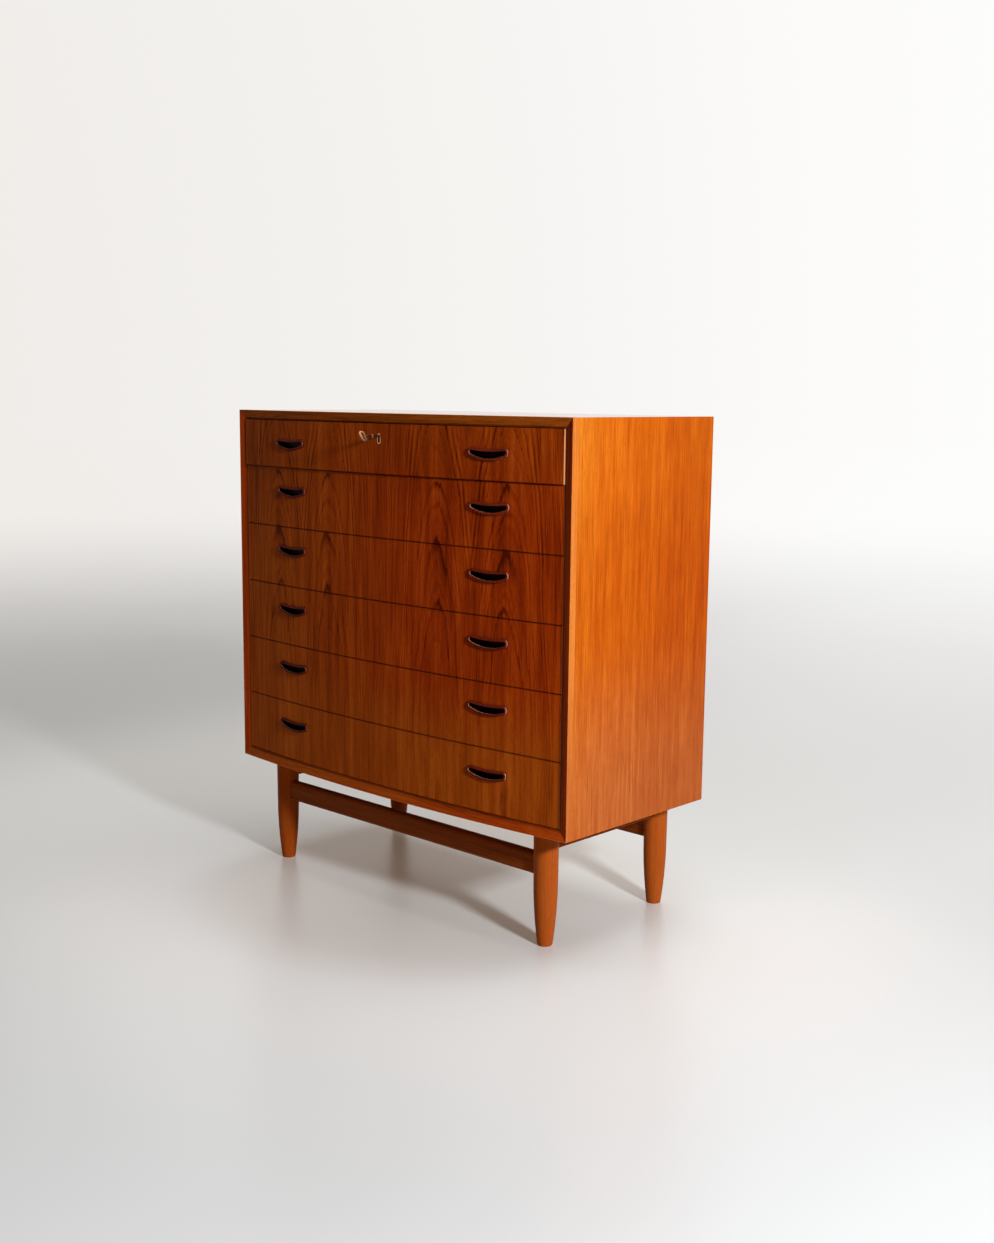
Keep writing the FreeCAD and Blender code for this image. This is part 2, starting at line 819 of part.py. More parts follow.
def make_bottom(number):
    """The thin bottom, slid in from the back, with a bowed front edge."""
    label = "drawer_" + str(number) + "_bottom"
    body = new_body(label)
    ease = S["joint_clearance"]
    side_reach = box_inner_half + S["bottom_groove_depth"] - ease
    tongue = box_inner_half - ease
    setback = inner_setback - S["bottom_groove_depth"] + ease
    radius = bow_radius - setback
    plan = new_sketch(body, "XY_Plane", groove_low)
    draw_outline(plan, [
        (-tongue, bow_y(setback, tongue), radius, 1),
        (tongue, bow_y(setback, tongue)),
        (tongue, land_y + ease),
        (side_reach, land_y + ease),
        (side_reach, box_rear),
        (-side_reach, box_rear),
        (-side_reach, land_y + ease),
        (-tongue, land_y + ease),
    ])
    pad(body, plan, S["box_bottom_thickness"])
    place(body, y=drawer_shift(number), z=drawer_low(number))
    return keep(body, label)


def make_pull(number, side):
    """A carved pull: a mouth-shaped block with a rounded outer edge and a finger recess."""
    body = new_body("drawer_" + str(number) + "_pull_" + ("left" if side == LEFT else "right"))
    proud = S["pull_proud"]
    outline = (S["pull_width"], S["pull_end_radius"], S["pull_top_rise"], S["pull_belly"])
    rim = S["pull_rim"]
    opening = (outline[0] - 2 * rim, outline[1] - rim, outline[2] - rim, outline[3] - rim)
    base = new_sketch(body, "XZ_Plane", -S["pull_seat_depth"])
    draw_outline(base, mouth(*outline))
    solid = pad(body, base, S["pull_seat_depth"] + proud)
    front = -proud.number

    def on_face(edge):
        box = edge.BoundBox
        return abs(box.YMin - front) < EDGE_TOLERANCE and abs(box.YMax - front) < EDGE_TOLERANCE

    fillet(body, solid, S["pull_rim_round"], on_face)
    recess = new_sketch(body, "XZ_Plane", proud)
    draw_outline(recess, mouth(*opening))
    pocket(body, recess, S["pull_seat_depth"] + proud - S["pull_floor"])
    turn_about(body, (0, 0, side), pull_angle)
    place(body, side * pull_x, pull_face_y + drawer_shift(number), drawer_low(number) + pull_height(number))
    return body


# Lock and key, in the frame of the top drawer
key_z = S["top_front_height"] - S["key_drop"]
lock_face_y = bow_y(face_setback, ZERO)
lock_back_y = bow_y(inner_setback, ZERO)
lock_front_y = lock_back_y - S["lock_depth"]
lock_low = key_z - S["lock_below_key"]
lock_half = S["lock_width"] / 2
selvedge_half = S["selvedge_width"] / 2
lock_top = S["top_front_height"]
slot_low = key_z + S["plate_above_key"] - S["plate_height"]
slot_high = key_z + S["plate_above_key"]
plate_hole = S["plate_width"] - 2 * S["plate_rim"]
bolt_head_front = lock_back_y - S["lock_wall"] - S["running_clearance"] - S["bolt_thickness"]
bolt_head_back = bolt_head_front + S["bolt_thickness"]


def cut_lock_seat(body):
    """Lets the lock into the back and the top edge of the front, and cuts the keyhole."""
    ease = S["joint_clearance"]
    past = S["overrun"]
    block(body, (-lock_half - ease, lock_half + ease), (lock_front_y - ease, lock_back_y + past),
          (lock_low - ease, lock_top + past), True)
    wide = (-selvedge_half - ease, selvedge_half + ease)
    block(body, wide, (lock_front_y - ease, lock_back_y + past),
          (lock_top - S["selvedge_thickness"] - ease, lock_top + past), True)
    block(body, wide, (lock_back_y - S["lock_wall"] - ease, lock_back_y + past),
          (lock_low - ease, lock_top + past), True)
    seat = new_sketch(body, "XZ_Plane", -lock_face_y + past)
    draw_slot(seat, ZERO, slot_low - ease, slot_high + ease, S["plate_width"] + 2 * ease)
    pocket(body, seat, past + S["plate_seat_depth"] + ease)
    hole = new_sketch(body, "XZ_Plane", -lock_face_y + past)
    draw_slot(hole, ZERO, slot_low + S["plate_rim"], slot_high - S["plate_rim"], plate_hole)
    pocket(body, hole, past + S["front_thickness"])


def make_lock_case():
    """The sheet case of the lock with its top plate, bolt slot, keyhole and centre pin."""
    body = new_body("lock_case_blank")
    wall = S["lock_wall"]
    ease = S["running_clearance"]
    past = S["overrun"]
    under_plate = lock_top - S["selvedge_thickness"]
    block(body, (-lock_half, lock_half), (lock_front_y, lock_back_y), (lock_low, lock_top))
    block(body, (-selvedge_half, selvedge_half), (lock_front_y, lock_back_y), (under_plate, lock_top))
    block(body, (-selvedge_half, selvedge_half), (lock_back_y - wall, lock_back_y), (lock_low, lock_top))
    block(body, (-lock_half + wall, lock_half - wall), (lock_front_y + wall, lock_back_y - wall),
          (lock_low + wall, under_plate), True)
    bolt_half = S["bolt_width"] / 2 + ease
    block(body, (-bolt_half, bolt_half), (bolt_head_front - ease, bolt_head_back + ease),
          (under_plate - past, lock_top + past), True)
    keyhole = new_sketch(body, "XZ_Plane", -lock_front_y + past)
    draw_slot(keyhole, ZERO, slot_low + S["plate_rim"], slot_high - S["plate_rim"], plate_hole)
    pocket(body, keyhole, past + wall + ease)
    pin = body.newObject("PartDesign::AdditiveCylinder", "CentrePin")
    attach(pin, body, "XZ_Plane", ZERO, key_z, -lock_back_y + wall / 2)
    bind(pin, "Radius", S["lock_pin_radius"])
    bind(pin, "Height", S["lock_depth"] - wall - wall / 2)
    place(body, y=drawer_shift(1), z=drawer_low(1))
    return body


def make_bolt():
    """The bolt: a head in the top plate's slot, and a slotted plate behind the key's bit."""
    body = new_body("lock_bolt")
    half = S["bolt_width"] / 2
    plate_half = S["bolt_plate_width"] / 2
    head_low = key_z + S["bolt_head_above_key"]
    plate_low = key_z - S["bolt_plate_below_key"]
    block(body, (-half, half), (bolt_head_front, bolt_head_back), (head_low, lock_top))
    plate_front = bolt_head_back - S["bolt_plate_thickness"]
    block(body, (-plate_half, plate_half), (plate_front, bolt_head_back), (plate_low, head_low))
    window = S["lock_pin_radius"] + S["running_clearance"]
    past = S["overrun"]
    block(body, (-window, window), (plate_front - past, bolt_head_back + past),
          (key_z - S["bolt_throw"] - window, key_z + S["bolt_back_travel"] + window), True)
    place(body, y=drawer_shift(1), z=drawer_low(1))
    return keep(body, "lock_bolt")


def make_key():
    """A barrel key in its own frame: the shaft along Y, the bit down and the bow upright."""
    body = new_body("key")
    face_to_case = lock_front_y - lock_face_y
    shaft_end = face_to_case + S["lock_wall"] + S["running_clearance"] + S["key_bit_width"]
    bow_start = -S["key_reach"] + S["key_bow_width"] - S["key_bow_bar"]
    collar_front = -S["key_collar_space"] - S["key_collar_length"]
    shaft = S["key_shaft_radius"]
    collar = S["key_collar_radius"]
    profile = new_sketch(body, "XY_Plane")
    draw_outline(profile, [
        (ZERO, bow_start),
        (shaft, bow_start),
        (shaft, collar_front - collar + shaft),
        (collar, collar_front),
        (collar, -S["key_collar_space"]),
        (shaft, -S["key_collar_space"] + collar - shaft),
        (shaft, shaft_end),
        (ZERO, shaft_end),
    ])
    turned = body.newObject("PartDesign::Revolution", "Turned")
    turned.Profile = profile
    turned.ReferenceAxis = (origin_item(body, "Y_Axis"), [""])
    turned.Angle = 360.0
    bore = body.newObject("PartDesign::SubtractiveCylinder", "Bore")
    attach(bore, body, "XZ_Plane", ZERO, ZERO, -shaft_end - S["overrun"])
    bind(bore, "Radius", S["key_bore_radius"])
    bind(bore, "Height", S["key_bore_depth"] + S["overrun"])
    cuts.append(bore)
    half_bit = S["key_bit_thickness"] / 2
    block(body, (-half_bit, half_bit), (shaft_end - S["key_bit_width"], shaft_end),
          (-S["key_bit_reach"], -(shaft + S["key_bore_radius"]) / 2))
    bow_middle = -S["key_reach"] + S["key_bow_width"] / 2
    bow_end = S["key_bow_length"] / 2
    bar = S["key_bow_bar"]
    bow = new_sketch(body, "YZ_Plane", -S["key_bow_thickness"] / 2)
    draw_slot(bow, bow_middle, -bow_end, bow_end, S["key_bow_width"])
    draw_slot(bow, bow_middle, bar - bow_end, bow_end - bar, S["key_bow_width"] - 2 * bar)
    pad(body, bow, S["key_bow_thickness"])
    turn_about(body, (0, -1, 0), S["key_tilt_degrees"])
    place(body, ZERO, lock_face_y + drawer_shift(1), drawer_low(1) + key_z)
    return keep(body, "key")


def make_escutcheon():
    """The brass ring that lines the keyhole."""
    body = new_body("escutcheon")
    rim = S["plate_rim"]
    ring = new_sketch(body, "XZ_Plane", -lock_face_y + S["plate_proud"])
    draw_slot(ring, ZERO, slot_low, slot_high, S["plate_width"])
    draw_slot(ring, ZERO, slot_low + rim, slot_high - rim, plate_hole)
    pad(body, ring, S["plate_proud"] + S["plate_seat_depth"], True)
    place(body, y=drawer_shift(1), z=drawer_low(1))
    return keep(body, "escutcheon")


# The lock's screws, which go through its back plate into the top drawer's front
lock_screw_y = lock_back_y + drawer_shift(1)
places = []
for side in (LEFT, RIGHT):
    for height in (lock_low + S["lock_screw_inset"], lock_top - S["key_drop"] / 2):
        places.append((side * (selvedge_half - S["lock_screw_inset"]), lock_screw_y, drawer_low(1) + height))
lock_voids = fastener_group("lock_holes", screw, places, (0, -1, 0), "lock_screw", S["screw_clearance"])
keep(fastener_group("lock_screw_set", screw, places, (0, -1, 0), "lock_screw"), "lock_screws")
keep(cut_away(make_lock_case(), lock_voids, "lock"), "lock_case")

for number in range(1, DRAWER_COUNT + 1):
    name = "drawer_" + str(number)
    front = make_front(number)
    if number == 1:
        front = cut_away(front, lock_voids, "lock_seat")
    keep(front, name + "_front")
    make_side(number, LEFT)
    make_side(number, RIGHT)
    make_back(number)
    make_bottom(number)
    keep(compound(name + "_pull_pair", [make_pull(number, LEFT), make_pull(number, RIGHT)]), name + "_pulls")

make_bolt()
make_key()
make_escutcheon()


# Runners and their brads
def runner_pin_places(side, face, ys):
    points = []
    for number in range(1, DRAWER_COUNT + 1):
        middle = drawer_low(number) + runner_low(number) + S["runner_height"] / 2
        for y in ys:
            points.append((side * face, y, middle))
    return points


runner_face = front_half - S["runner_depth"]
pin_ys = (runner_front + S["runner_pin_inset"], runner_rear - S["runner_pin_inset"])
runner_pins = []
for side, word in ((LEFT, "left"), (RIGHT, "right")):
    boards = []
    for number in range(1, DRAWER_COUNT + 1):
        board = new_body("runner_" + word + "_" + str(number))
        low = drawer_low(number) + runner_low(number)
        block(board, across(side, runner_face, inner_half), (runner_front, runner_rear),
              (low, low + S["runner_height"]))
        boards.append(board)
    places = runner_pin_places(side, runner_face, pin_ys)
    way = (side, 0, 0)
    runner_pins.append(fastener_group("runner_pins_" + word, brad, places, way, "runner_pin"))
    voids = fastener_group("runner_holes_" + word, brad, places, way, "runner_pin", S["screw_clearance"])
    keep(cut_away(compound("runner_blanks_" + word, boards), voids, "runners"), "runners_" + word)
    keep(cut_away(side_blanks[side], compound("side_voids_" + word, [voids, back_voids]), "side"),
         "case_side_" + word)
keep(compound("runner_pin_set", runner_pins), "runner_pins")


# Leg frame
leg_x = half_width - S["leg_inset_side"]
leg_front_y = corner_y + S["leg_inset_front"]
leg_back_y = back_y - S["leg_inset_back"]
rail_high = case_low - S["rail_drop"]
rail_low = rail_high - S["rail_height"]


def leg_radius_steps(ease):
    """Profile of a turned leg: a nearly straight upper part, then a curve down to the foot."""
    knee = case_low - S["leg_knee_drop"]
    drop = S["leg_knee_radius"] - S["leg_foot_radius"]
    fall = knee - S["leg_foot_round"]
    curve = (fall * fall + drop * drop) / (2 * drop)
    foot = S["leg_foot_radius"] + ease
    return [
        (ZERO, ZERO),
        (foot - S["leg_foot_round"], ZERO),
        (foot, S["leg_foot_round"], curve, 1),
        (S["leg_knee_radius"] + ease, knee),
        (S["leg_top_radius"] + ease, case_low),
        (ZERO, case_low),
    ]


def make_leg(label, side, y, toward):
    """A turned leg with two mortises: toward is 1 for a front leg and -1 for a back leg."""
    body = new_body(label)
    profile = new_sketch(body, "XZ_Plane")
    draw_outline(profile, leg_radius_steps(ZERO))
    turned = body.newObject("PartDesign::Revolution", "Turned")
    turned.Profile = profile
    turned.ReferenceAxis = (origin_item(body, "Z_Axis"), [""])
    turned.Angle = 360.0
    ease = S["joint_clearance"]
    half = S["tenon_thickness"] / 2 + ease
    depth = S["leg_knee_radius"] - S["tenon_length"] - ease
    past = S["leg_top_radius"] + S["overrun"]
    rail = (rail_low + S["tenon_shoulder"] - ease, rail_high - S["tenon_shoulder"] + ease)
    block(body, across(-side, depth, past), (-half, half), rail, True)
    side_low = case_low - S["side_rail_height"] + S["tenon_shoulder"] - ease
    limits = (depth, past) if toward > 0 else (-past, -depth)
    block(body, (-half, half), limits, (side_low, case_low - S["tenon_shoulder"] + ease), True)
    place(body, side * leg_x, y)
    return keep(body, label)


def cope(body, x, y):
    """Hollows the end of a rail so that it fits round a leg."""
    sketch = new_sketch(body, "XZ_Plane", -y)
    steps = leg_radius_steps(S["joint_clearance"])
    past = S["overrun"]
    moved = []
    for step in steps:
        moved.append((x + step[0], step[1]) + tuple(step[2:]))
    moved[0] = (x, -past)
    moved[1] = (moved[1][0], -past)
    moved[-2] = (moved[-2][0], case_low + past)
    moved[-1] = (x, case_low + past)
    draw_outline(sketch, moved)
    start = FreeCAD.Vector(x.number, 0, 0)
    end = FreeCAD.Vector(x.number, case_low.number, 0)
    axis = sketch.addGeometry(Part.LineSegment(start, end), True)
    pin_point(sketch, axis, 1, x, ZERO)
    pin_point(sketch, axis, 2, x, case_low)
    groove = body.newObject("PartDesign::Groove", "Cope")
    groove.Profile = sketch
    groove.ReferenceAxis = (sketch, ["Axis0"])
    groove.Angle = 360.0
    cuts.append(groove)
    return groove


def rounded_section(half_thick, low, high, radius, both):
    """Section of a rail with its lower edges rounded, or all four."""
    path = [
        (half_thick, low + radius),
        (half_thick, high),
        (-half_thick, high),
        (-half_thick, low + radius, radius, 1),
        (-half_thick + radius, low),
        (half_thick - radius, low, radius, 1),
    ]
    if both:
        path[1:3] = [
            (half_thick, high - radius, radius, 1),
            (half_thick - radius, high),
            (-half_thick + radius, high, radius, 1),
            (-half_thick, high - radius),
        ]
    return path


def make_stretcher(label, y):
    """A rail between the two front or back legs, rounded all along, with a tenon at each end."""
    body = new_body(label)
    half = S["rail_thickness"] / 2
    section = new_sketch(body, "YZ_Plane", -leg_x)
    path = rounded_section(half, rail_low, rail_high, S["rail_round"], True)
    draw_outline(section, [(y + step[0],) + tuple(step[1:]) for step in path])
    pad(body, section, 2 * leg_x)
    cope(body, leg_x, y)
    cope(body, -leg_x, y)
    shoulder = leg_x - S["leg_knee_radius"] - S["overrun"]
    tip = leg_x - S["leg_knee_radius"] + S["tenon_length"]
    thin = S["tenon_thickness"] / 2
    heights = (rail_low + S["tenon_shoulder"], rail_high - S["tenon_shoulder"])
    for side in (LEFT, RIGHT):
        block(body, across(side, shoulder, tip), (y - thin, y + thin), heights)
    return keep(body, label)


def make_side_rail(label, side):
    """A rail close under the case, between a front and a back leg: the case is screwed down to it."""
    body = new_body(label)
    x = side * leg_x
    half = S["rail_thickness"] / 2
    low = case_low - S["side_rail_height"]
    section = new_sketch(body, "XZ_Plane", -leg_back_y)
    path = rounded_section(half, low, case_low, S["side_rail_round"], False)
    draw_outline(section, [(x + step[0],) + tuple(step[1:]) for step in path])
    pad(body, section, leg_back_y - leg_front_y)
    cope(body, x, leg_front_y)
    cope(body, x, leg_back_y)
    thin = S["tenon_thickness"] / 2
    heights = (low + S["tenon_shoulder"], case_low - S["tenon_shoulder"])
    front_tip = leg_front_y + S["leg_knee_radius"] - S["tenon_length"]
    back_tip = leg_back_y - S["leg_knee_radius"] + S["tenon_length"]
    front_end = leg_front_y + S["leg_knee_radius"] + S["overrun"]
    back_end = leg_back_y - S["leg_knee_radius"] - S["overrun"]
    block(body, (x - thin, x + thin), (front_tip, front_end), heights)
    block(body, (x - thin, x + thin), (back_end, back_tip), heights)
    return body


make_leg("leg_front_left", LEFT, leg_front_y, 1)
make_leg("leg_front_right", RIGHT, leg_front_y, 1)
make_leg("leg_back_left", LEFT, leg_back_y, -1)
make_leg("leg_back_right", RIGHT, leg_back_y, -1)
make_stretcher("stretcher_front", leg_front_y)
make_stretcher("stretcher_back", leg_back_y)

# Screws up through the side rails into the case bottom, sunk into the rails
screw_z = case_low - S["side_rail_height"] + S["frame_screw_bury"]
frame_ys = (leg_front_y + S["frame_screw_inset"], leg_back_y - S["frame_screw_inset"])
places = []
for side in (LEFT, RIGHT):
    for y in frame_ys:
        places.append((side * leg_x, y, screw_z))
keep(fastener_group("frame_screw_set", screw, places, (0, 0, 1), "frame_screw"), "frame_screws")
frame_voids = fastener_group("frame_holes", screw, places, (0, 0, 1), "frame_screw", S["screw_clearance"])
sink_radius = S["frame_screw_head_radius"] + S["screw_clearance"]
wells = []
for index, point in enumerate(places):
    well = doc.addObject("Part::Cylinder", "well_" + str(index))
    bind(well, "Radius", sink_radius)
    bind(well, "Height", S["frame_screw_bury"] + S["overrun"])
    place(well, point[0], point[1], screw_z - S["frame_screw_bury"] - S["overrun"])
    wells.append(well)
rail_voids = compound("rail_voids", [frame_voids] + wells)
for side, word in ((LEFT, "left"), (RIGHT, "right")):
    rail = make_side_rail("side_rail_blank_" + word, side)
    keep(cut_away(rail, rail_voids, "rail"), "side_rail_" + word)
bottom_voids = compound("bottom_voids", [frame_voids, back_voids])
keep(cut_away(bottom_blank, bottom_voids, "bottom"), "case_bottom")

# The slot that the lock's bolt rises into
bolt_slot = doc.addObject("Part::Box", "bolt_slot")
ease = 2 * S["running_clearance"]
bind(bolt_slot, "Length", S["bolt_width"] + 2 * ease)
bind(bolt_slot, "Width", S["bolt_thickness"] + S["drawer_ajar"] + 2 * ease)
bind(bolt_slot, "Height", S["bolt_hole_depth"] + S["overrun"])
place(bolt_slot, -S["bolt_width"] / 2 - ease, bolt_head_front - S["drawer_ajar"] - ease,
      inside_high - S["overrun"])
keep(cut_away(top_blank, compound("top_voids", [bolt_slot, back_voids]), "top"), "case_top")


def check_and_export():
    """Stops on any failed object, empty cut or bad solid, and then writes one file per sub-part."""
    doc.recompute()
    for item in doc.Objects:
        if "Invalid" in item.State or "Error" in item.State:
            raise RuntimeError("failed: " + item.Name + " " + item.Label + " " + str(item.State))
    for feature in cuts:
        base = feature.BaseFeature
        if base is not None and abs(base.Shape.Volume - feature.Shape.Volume) < EDGE_TOLERANCE:
            raise RuntimeError("cuts nothing: " + feature.Name)
    os.makedirs("parts", exist_ok=True)
    labels = set()
    for item in subparts:
        shape = item.Shape
        if shape.isNull() or not shape.isValid() or not shape.Solids:
            raise RuntimeError("bad shape: " + item.Label)
        labels.add(item.Label)
        shape.exportStep("parts/" + item.Label + ".step")
        print(item.Label, len(shape.Solids), round(shape.Volume / 1000, 1), "cm3")
    print(len(labels), "nodes")


check_and_export()
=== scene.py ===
import bpy
import json
import math
from mathutils import Euler, Matrix, Vector

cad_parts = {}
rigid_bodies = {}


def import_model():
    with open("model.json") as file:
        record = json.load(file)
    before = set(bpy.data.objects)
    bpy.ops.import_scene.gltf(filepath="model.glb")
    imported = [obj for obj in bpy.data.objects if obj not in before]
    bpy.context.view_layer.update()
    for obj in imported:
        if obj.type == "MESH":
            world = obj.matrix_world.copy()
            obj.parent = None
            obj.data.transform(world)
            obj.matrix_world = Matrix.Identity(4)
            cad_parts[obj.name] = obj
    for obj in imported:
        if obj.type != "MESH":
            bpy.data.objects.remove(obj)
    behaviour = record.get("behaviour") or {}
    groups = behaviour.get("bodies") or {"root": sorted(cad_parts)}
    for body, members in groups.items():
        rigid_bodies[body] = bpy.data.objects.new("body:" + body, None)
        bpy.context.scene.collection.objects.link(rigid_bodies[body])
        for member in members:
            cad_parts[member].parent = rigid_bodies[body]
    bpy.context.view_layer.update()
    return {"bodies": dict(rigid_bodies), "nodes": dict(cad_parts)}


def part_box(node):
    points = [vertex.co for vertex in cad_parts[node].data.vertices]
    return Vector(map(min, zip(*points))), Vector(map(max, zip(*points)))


# A teak chest of six drawers with a bowed front. Lengths are in metres, in the part's own frame:
# X along the front, Y from the front to the back, Z up from the floor. All colours are linear.

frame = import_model()

# Places and sizes read from the frame
EDGING_LOW, EDGING_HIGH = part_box("front_edging")
FRONT_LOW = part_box("drawer_6_front")[0]
FRONT_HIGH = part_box("drawer_1_front")[1]
HALF_WIDTH = EDGING_HIGH.x
EDGING_BACK = EDGING_HIGH.y
CASE_LOW = EDGING_LOW.z
CASE_HIGH = EDGING_HIGH.z
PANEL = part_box("case_side_right")[1].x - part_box("case_side_right")[0].x
TOP_DRAWER_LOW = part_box("drawer_1_front")[0]
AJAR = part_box("drawer_2_front")[0].y - TOP_DRAWER_LOW.y
DRAWER_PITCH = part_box("drawer_5_front")[0].z - FRONT_LOW.z
GAP_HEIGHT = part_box("drawer_5_front")[0].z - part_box("drawer_6_front")[1].z

# Radius of the fronts' bow, thickness of the veneer, and how far in the painted highlight on the
# fronts' ends blurs
BOW_RADIUS = 4.247
VENEER = 0.0009
END_HIGHLIGHT_BLUR = 0.3 * VENEER


class Layer:
    """A layer of noise, with its features per metre across the grain, in depth and along it."""

    def __init__(self, across, deep=0.0, along=0.0, weight=1.0, detail=2.0, roughness=0.5):
        self.counts = (across, deep, along)
        self.weight = weight
        self.detail = detail
        self.roughness = roughness


# A name that ends in SPAN holds two limits, and then the values at them unless these are 0 and 1

# Fibre and pores, which all the wood has, and what they do to tone, gloss and relief
FIBRE = Layer(900.0, 900.0, 26.0, roughness=0.7)
FIBRE_TONE = 0.35
FAINT_FIBRE_TONE = 0.30
FIBRE_ROUGHNESS = 0.20
FIBRE_RELIEF = 0.5
PORES = Layer(1500.0, 1500.0, 70.0, detail=1.0)
PORE_EDGE = 0.09
PORE_ROUGHNESS = 0.15
PORE_RELIEF = -1.0

# Solid wood: the counts across the grain and in depth are per spacing of its lines
STRAIGHT_LAYERS = (
    Layer(0.12, 0.12, 0.7, weight=0.7, detail=1.0),
    Layer(0.5, 0.5, 2.2, weight=0.8),
    Layer(1.6, 1.6, 7.0, weight=1.0, roughness=0.6),
)

# Quarter-cut veneer of the sides and the top: ribbons, finer lines in them, and mottling
RIBBON_LAYERS = (
    Layer(22.0, 22.0, 0.8, weight=0.40, detail=1.0),
    Layer(95.0, 95.0, 3.5, weight=0.85, roughness=0.6),
    Layer(34.0, 34.0, 12.0, weight=0.45, roughness=0.6),
)
RIBBON_LINES = Layer(420.0, 420.0, 13.0, roughness=0.6)
RIBBON_LINE_WEIGHT = 1.25
DARK_LINES = Layer(520.0, 520.0, 8.0, detail=1.0)
DARK_LINE_SPAN = (0.08, 0.20)
DARK_LINE_PATCHES = Layer(60.0, 60.0, 3.0, detail=1.0)
DARK_LINE_PATCH_SPAN = (-0.15, 0.15, 0.35, 1.0)
DARK_LINE_SHARE = 0.60

# Rotary-cut veneer of the plywood
ROTARY_WAVE = Layer(6.0, 6.0, 1.6, weight=0.40)
ROTARY_LINES = Layer(34.0, weight=1.4, detail=3.0, roughness=0.6)

# Veneer of the drawer fronts: mirrored leaves, each with its own crown of growth rings
LEAF_WIDTH = 0.245
LEAF_SEAM = -0.004
CROWN_OFFSET = 0.158
CROWN_OPENING = 0.016
CROWN_CLIMB = 0.483
CROWN_POWER = 1.8
CROWN_SWAY = Layer(6.0, 0.0, 2.6, weight=0.045)
CROWN_FEATHER = Layer(300.0, 0.0, 16.0, weight=0.034, roughness=0.6)
CROWN_WOBBLE = Layer(24.0, 0.0, 8.0, weight=0.060)
CROWN_PATCHES = Layer(26.0, 0.0, 7.0)
CROWN_PATCH_SPAN = (-0.14, 0.10, 0.25, 1.0)
CROWN_TIP_SPAN = (0.010, 0.034, 1.0, 0.0)
CROWN_TIP_TONE = -0.20

# Growth rings: noise along the crowns' climb
BOLD_RINGS = Layer(23.0, roughness=0.55)
FINE_RINGS = Layer(80.0, weight=0.34, roughness=0.6)
DARK_RING_SPAN = (-0.15, -0.03, 1.0, 0.0)
DARK_RING_TONE = -0.34
LIGHT_RING_SPAN = (0.07, 0.16)
LIGHT_RING_TONE = 0.12

# Streaks, smoky patches and bands that run across all the leaves of the fronts, and the fronts'
# middle tone, which darkens to the right
FRONT_LAYERS = (
    Layer(210.0, 0.0, 7.0, weight=0.50, roughness=0.6),
    Layer(58.0, 0.0, 5.0, weight=0.80, roughness=0.55),
    Layer(30.0, 0.0, 1.5, weight=0.70, roughness=0.6),
)
FRONT_BROAD = Layer(9.0, 0.0, 1.6, weight=0.40)
FRONT_TONE = 0.56
FRONT_RIGHT_TONE = -0.07

# Shares of the fronts' height over which the dark rings and the figure grow from faint to full
CALM_LOW = 0.12
CALM_HIGH = 0.45
CALM_RINGS = 0.35
CALM_FIGURE = 0.70

# Places between which the fronts turn redder, upward and to the right, and the height from
# which they lose some of the red again
RED_LOW = 0.34
RED_HIGH = 0.52
RED_LEFT = -0.42
RED_RIGHT = 0.12
RED_TOP_START = 0.80
RED_TOP_SHARE = 0.5

# Heights between which the sides' paler foot and the edging's browner foot end, and the fine
# lines of the sides gain weight
PALE_LOW = 0.28
PALE_HIGH = 0.62
SIDE_LINES_LOW = 0.60
SIDE_LINES_HIGH = 1.10

# Height from which the sides turn a little golden, and brighter with painted light
BRIGHT_START = 0.70
PAINTED_LIGHT_TONE = 0.14
BRIGHT_GOLDEN = 0.15

# How far behind the edging the sides go from bright to dark, a painted falloff of the lamp's
# light, and how far back they are golden
PAINTED_FALLOFF_DEPTH = 0.36
PAINTED_FALLOFF_TONE = 0.13
GOLDEN_DEPTH = 0.09
GOLDEN_SHARE = 0.8
GOLDEN_LOW_SHARE = 0.3

# Painted shade: a dark line along the edges of the fronts at their gaps, and inside the edging
GAP_SHADE_SPAN = (0.0012, 0.0024, 0.50, 0.0)
EDGING_SHADE_SPAN = (PANEL - 0.0040, PANEL - 0.0020, 0.0, 0.55)

# How far in the edging's bright outside starts to turn into its darker bevel
EDGING_OUTSIDE = 0.0003

# Share of the browner bevel in the level strips at the left, and where it starts to fall to
# none at the right end
BROWN_BEVEL_LEFT = 0.6
BROWN_BEVEL_END = -0.5 * HALF_WIDTH

# Pulls: depths behind the fronts' face of their recess, which is painted in shade, and their
# crest, shares of a pull's height over which its lower lip ends, and slopes on which a highlight
# is painted
RECESS_SHADE_SPAN = (-0.003, 0.001)
CREST_SPAN = (-0.0036, -0.0016, 1.0, 0.0)
LIP_END_SHARES = (0.6, 0.8)
LIP_SLOPE_SPAN = (0.10, 0.60)
END_SLOPE_SPAN = (0.30, 0.80, 0.0, 0.8)
HIGHLIGHT_PATCHES = Layer(90.0, 90.0, 90.0)
HIGHLIGHT_PATCH_SPAN = (-0.20, 0.15, 0.35, 0.85)
# Painted shade on the left pulls, and a weaker painted highlight on them
LEFT_PULL_SHADE = -0.25
LEFT_PULL_HIGHLIGHT = 0.4
PULL_COAT = 0.05
PULL_COAT_ROUGHNESS = 0.08
PULL_COAT_IOR = 1.5

# Lacquer on the polished top
TOP_COAT = 0.8
TOP_COAT_ROUGHNESS = 0.10

# Metal: brushing marks and patches of tarnish
BRUSH_MARKS = Layer(1000.0, 160.0, 1000.0, detail=3.0, roughness=0.7)
BRUSH_ROUGHNESS = 0.25
BRUSH_RELIEF = 0.00002
TARNISH = Layer(170.0, 170.0, 170.0, detail=3.0, roughness=0.6)
TARNISH_SPAN = (-0.02, 0.22)
TARNISH_ROUGHNESS = 0.25

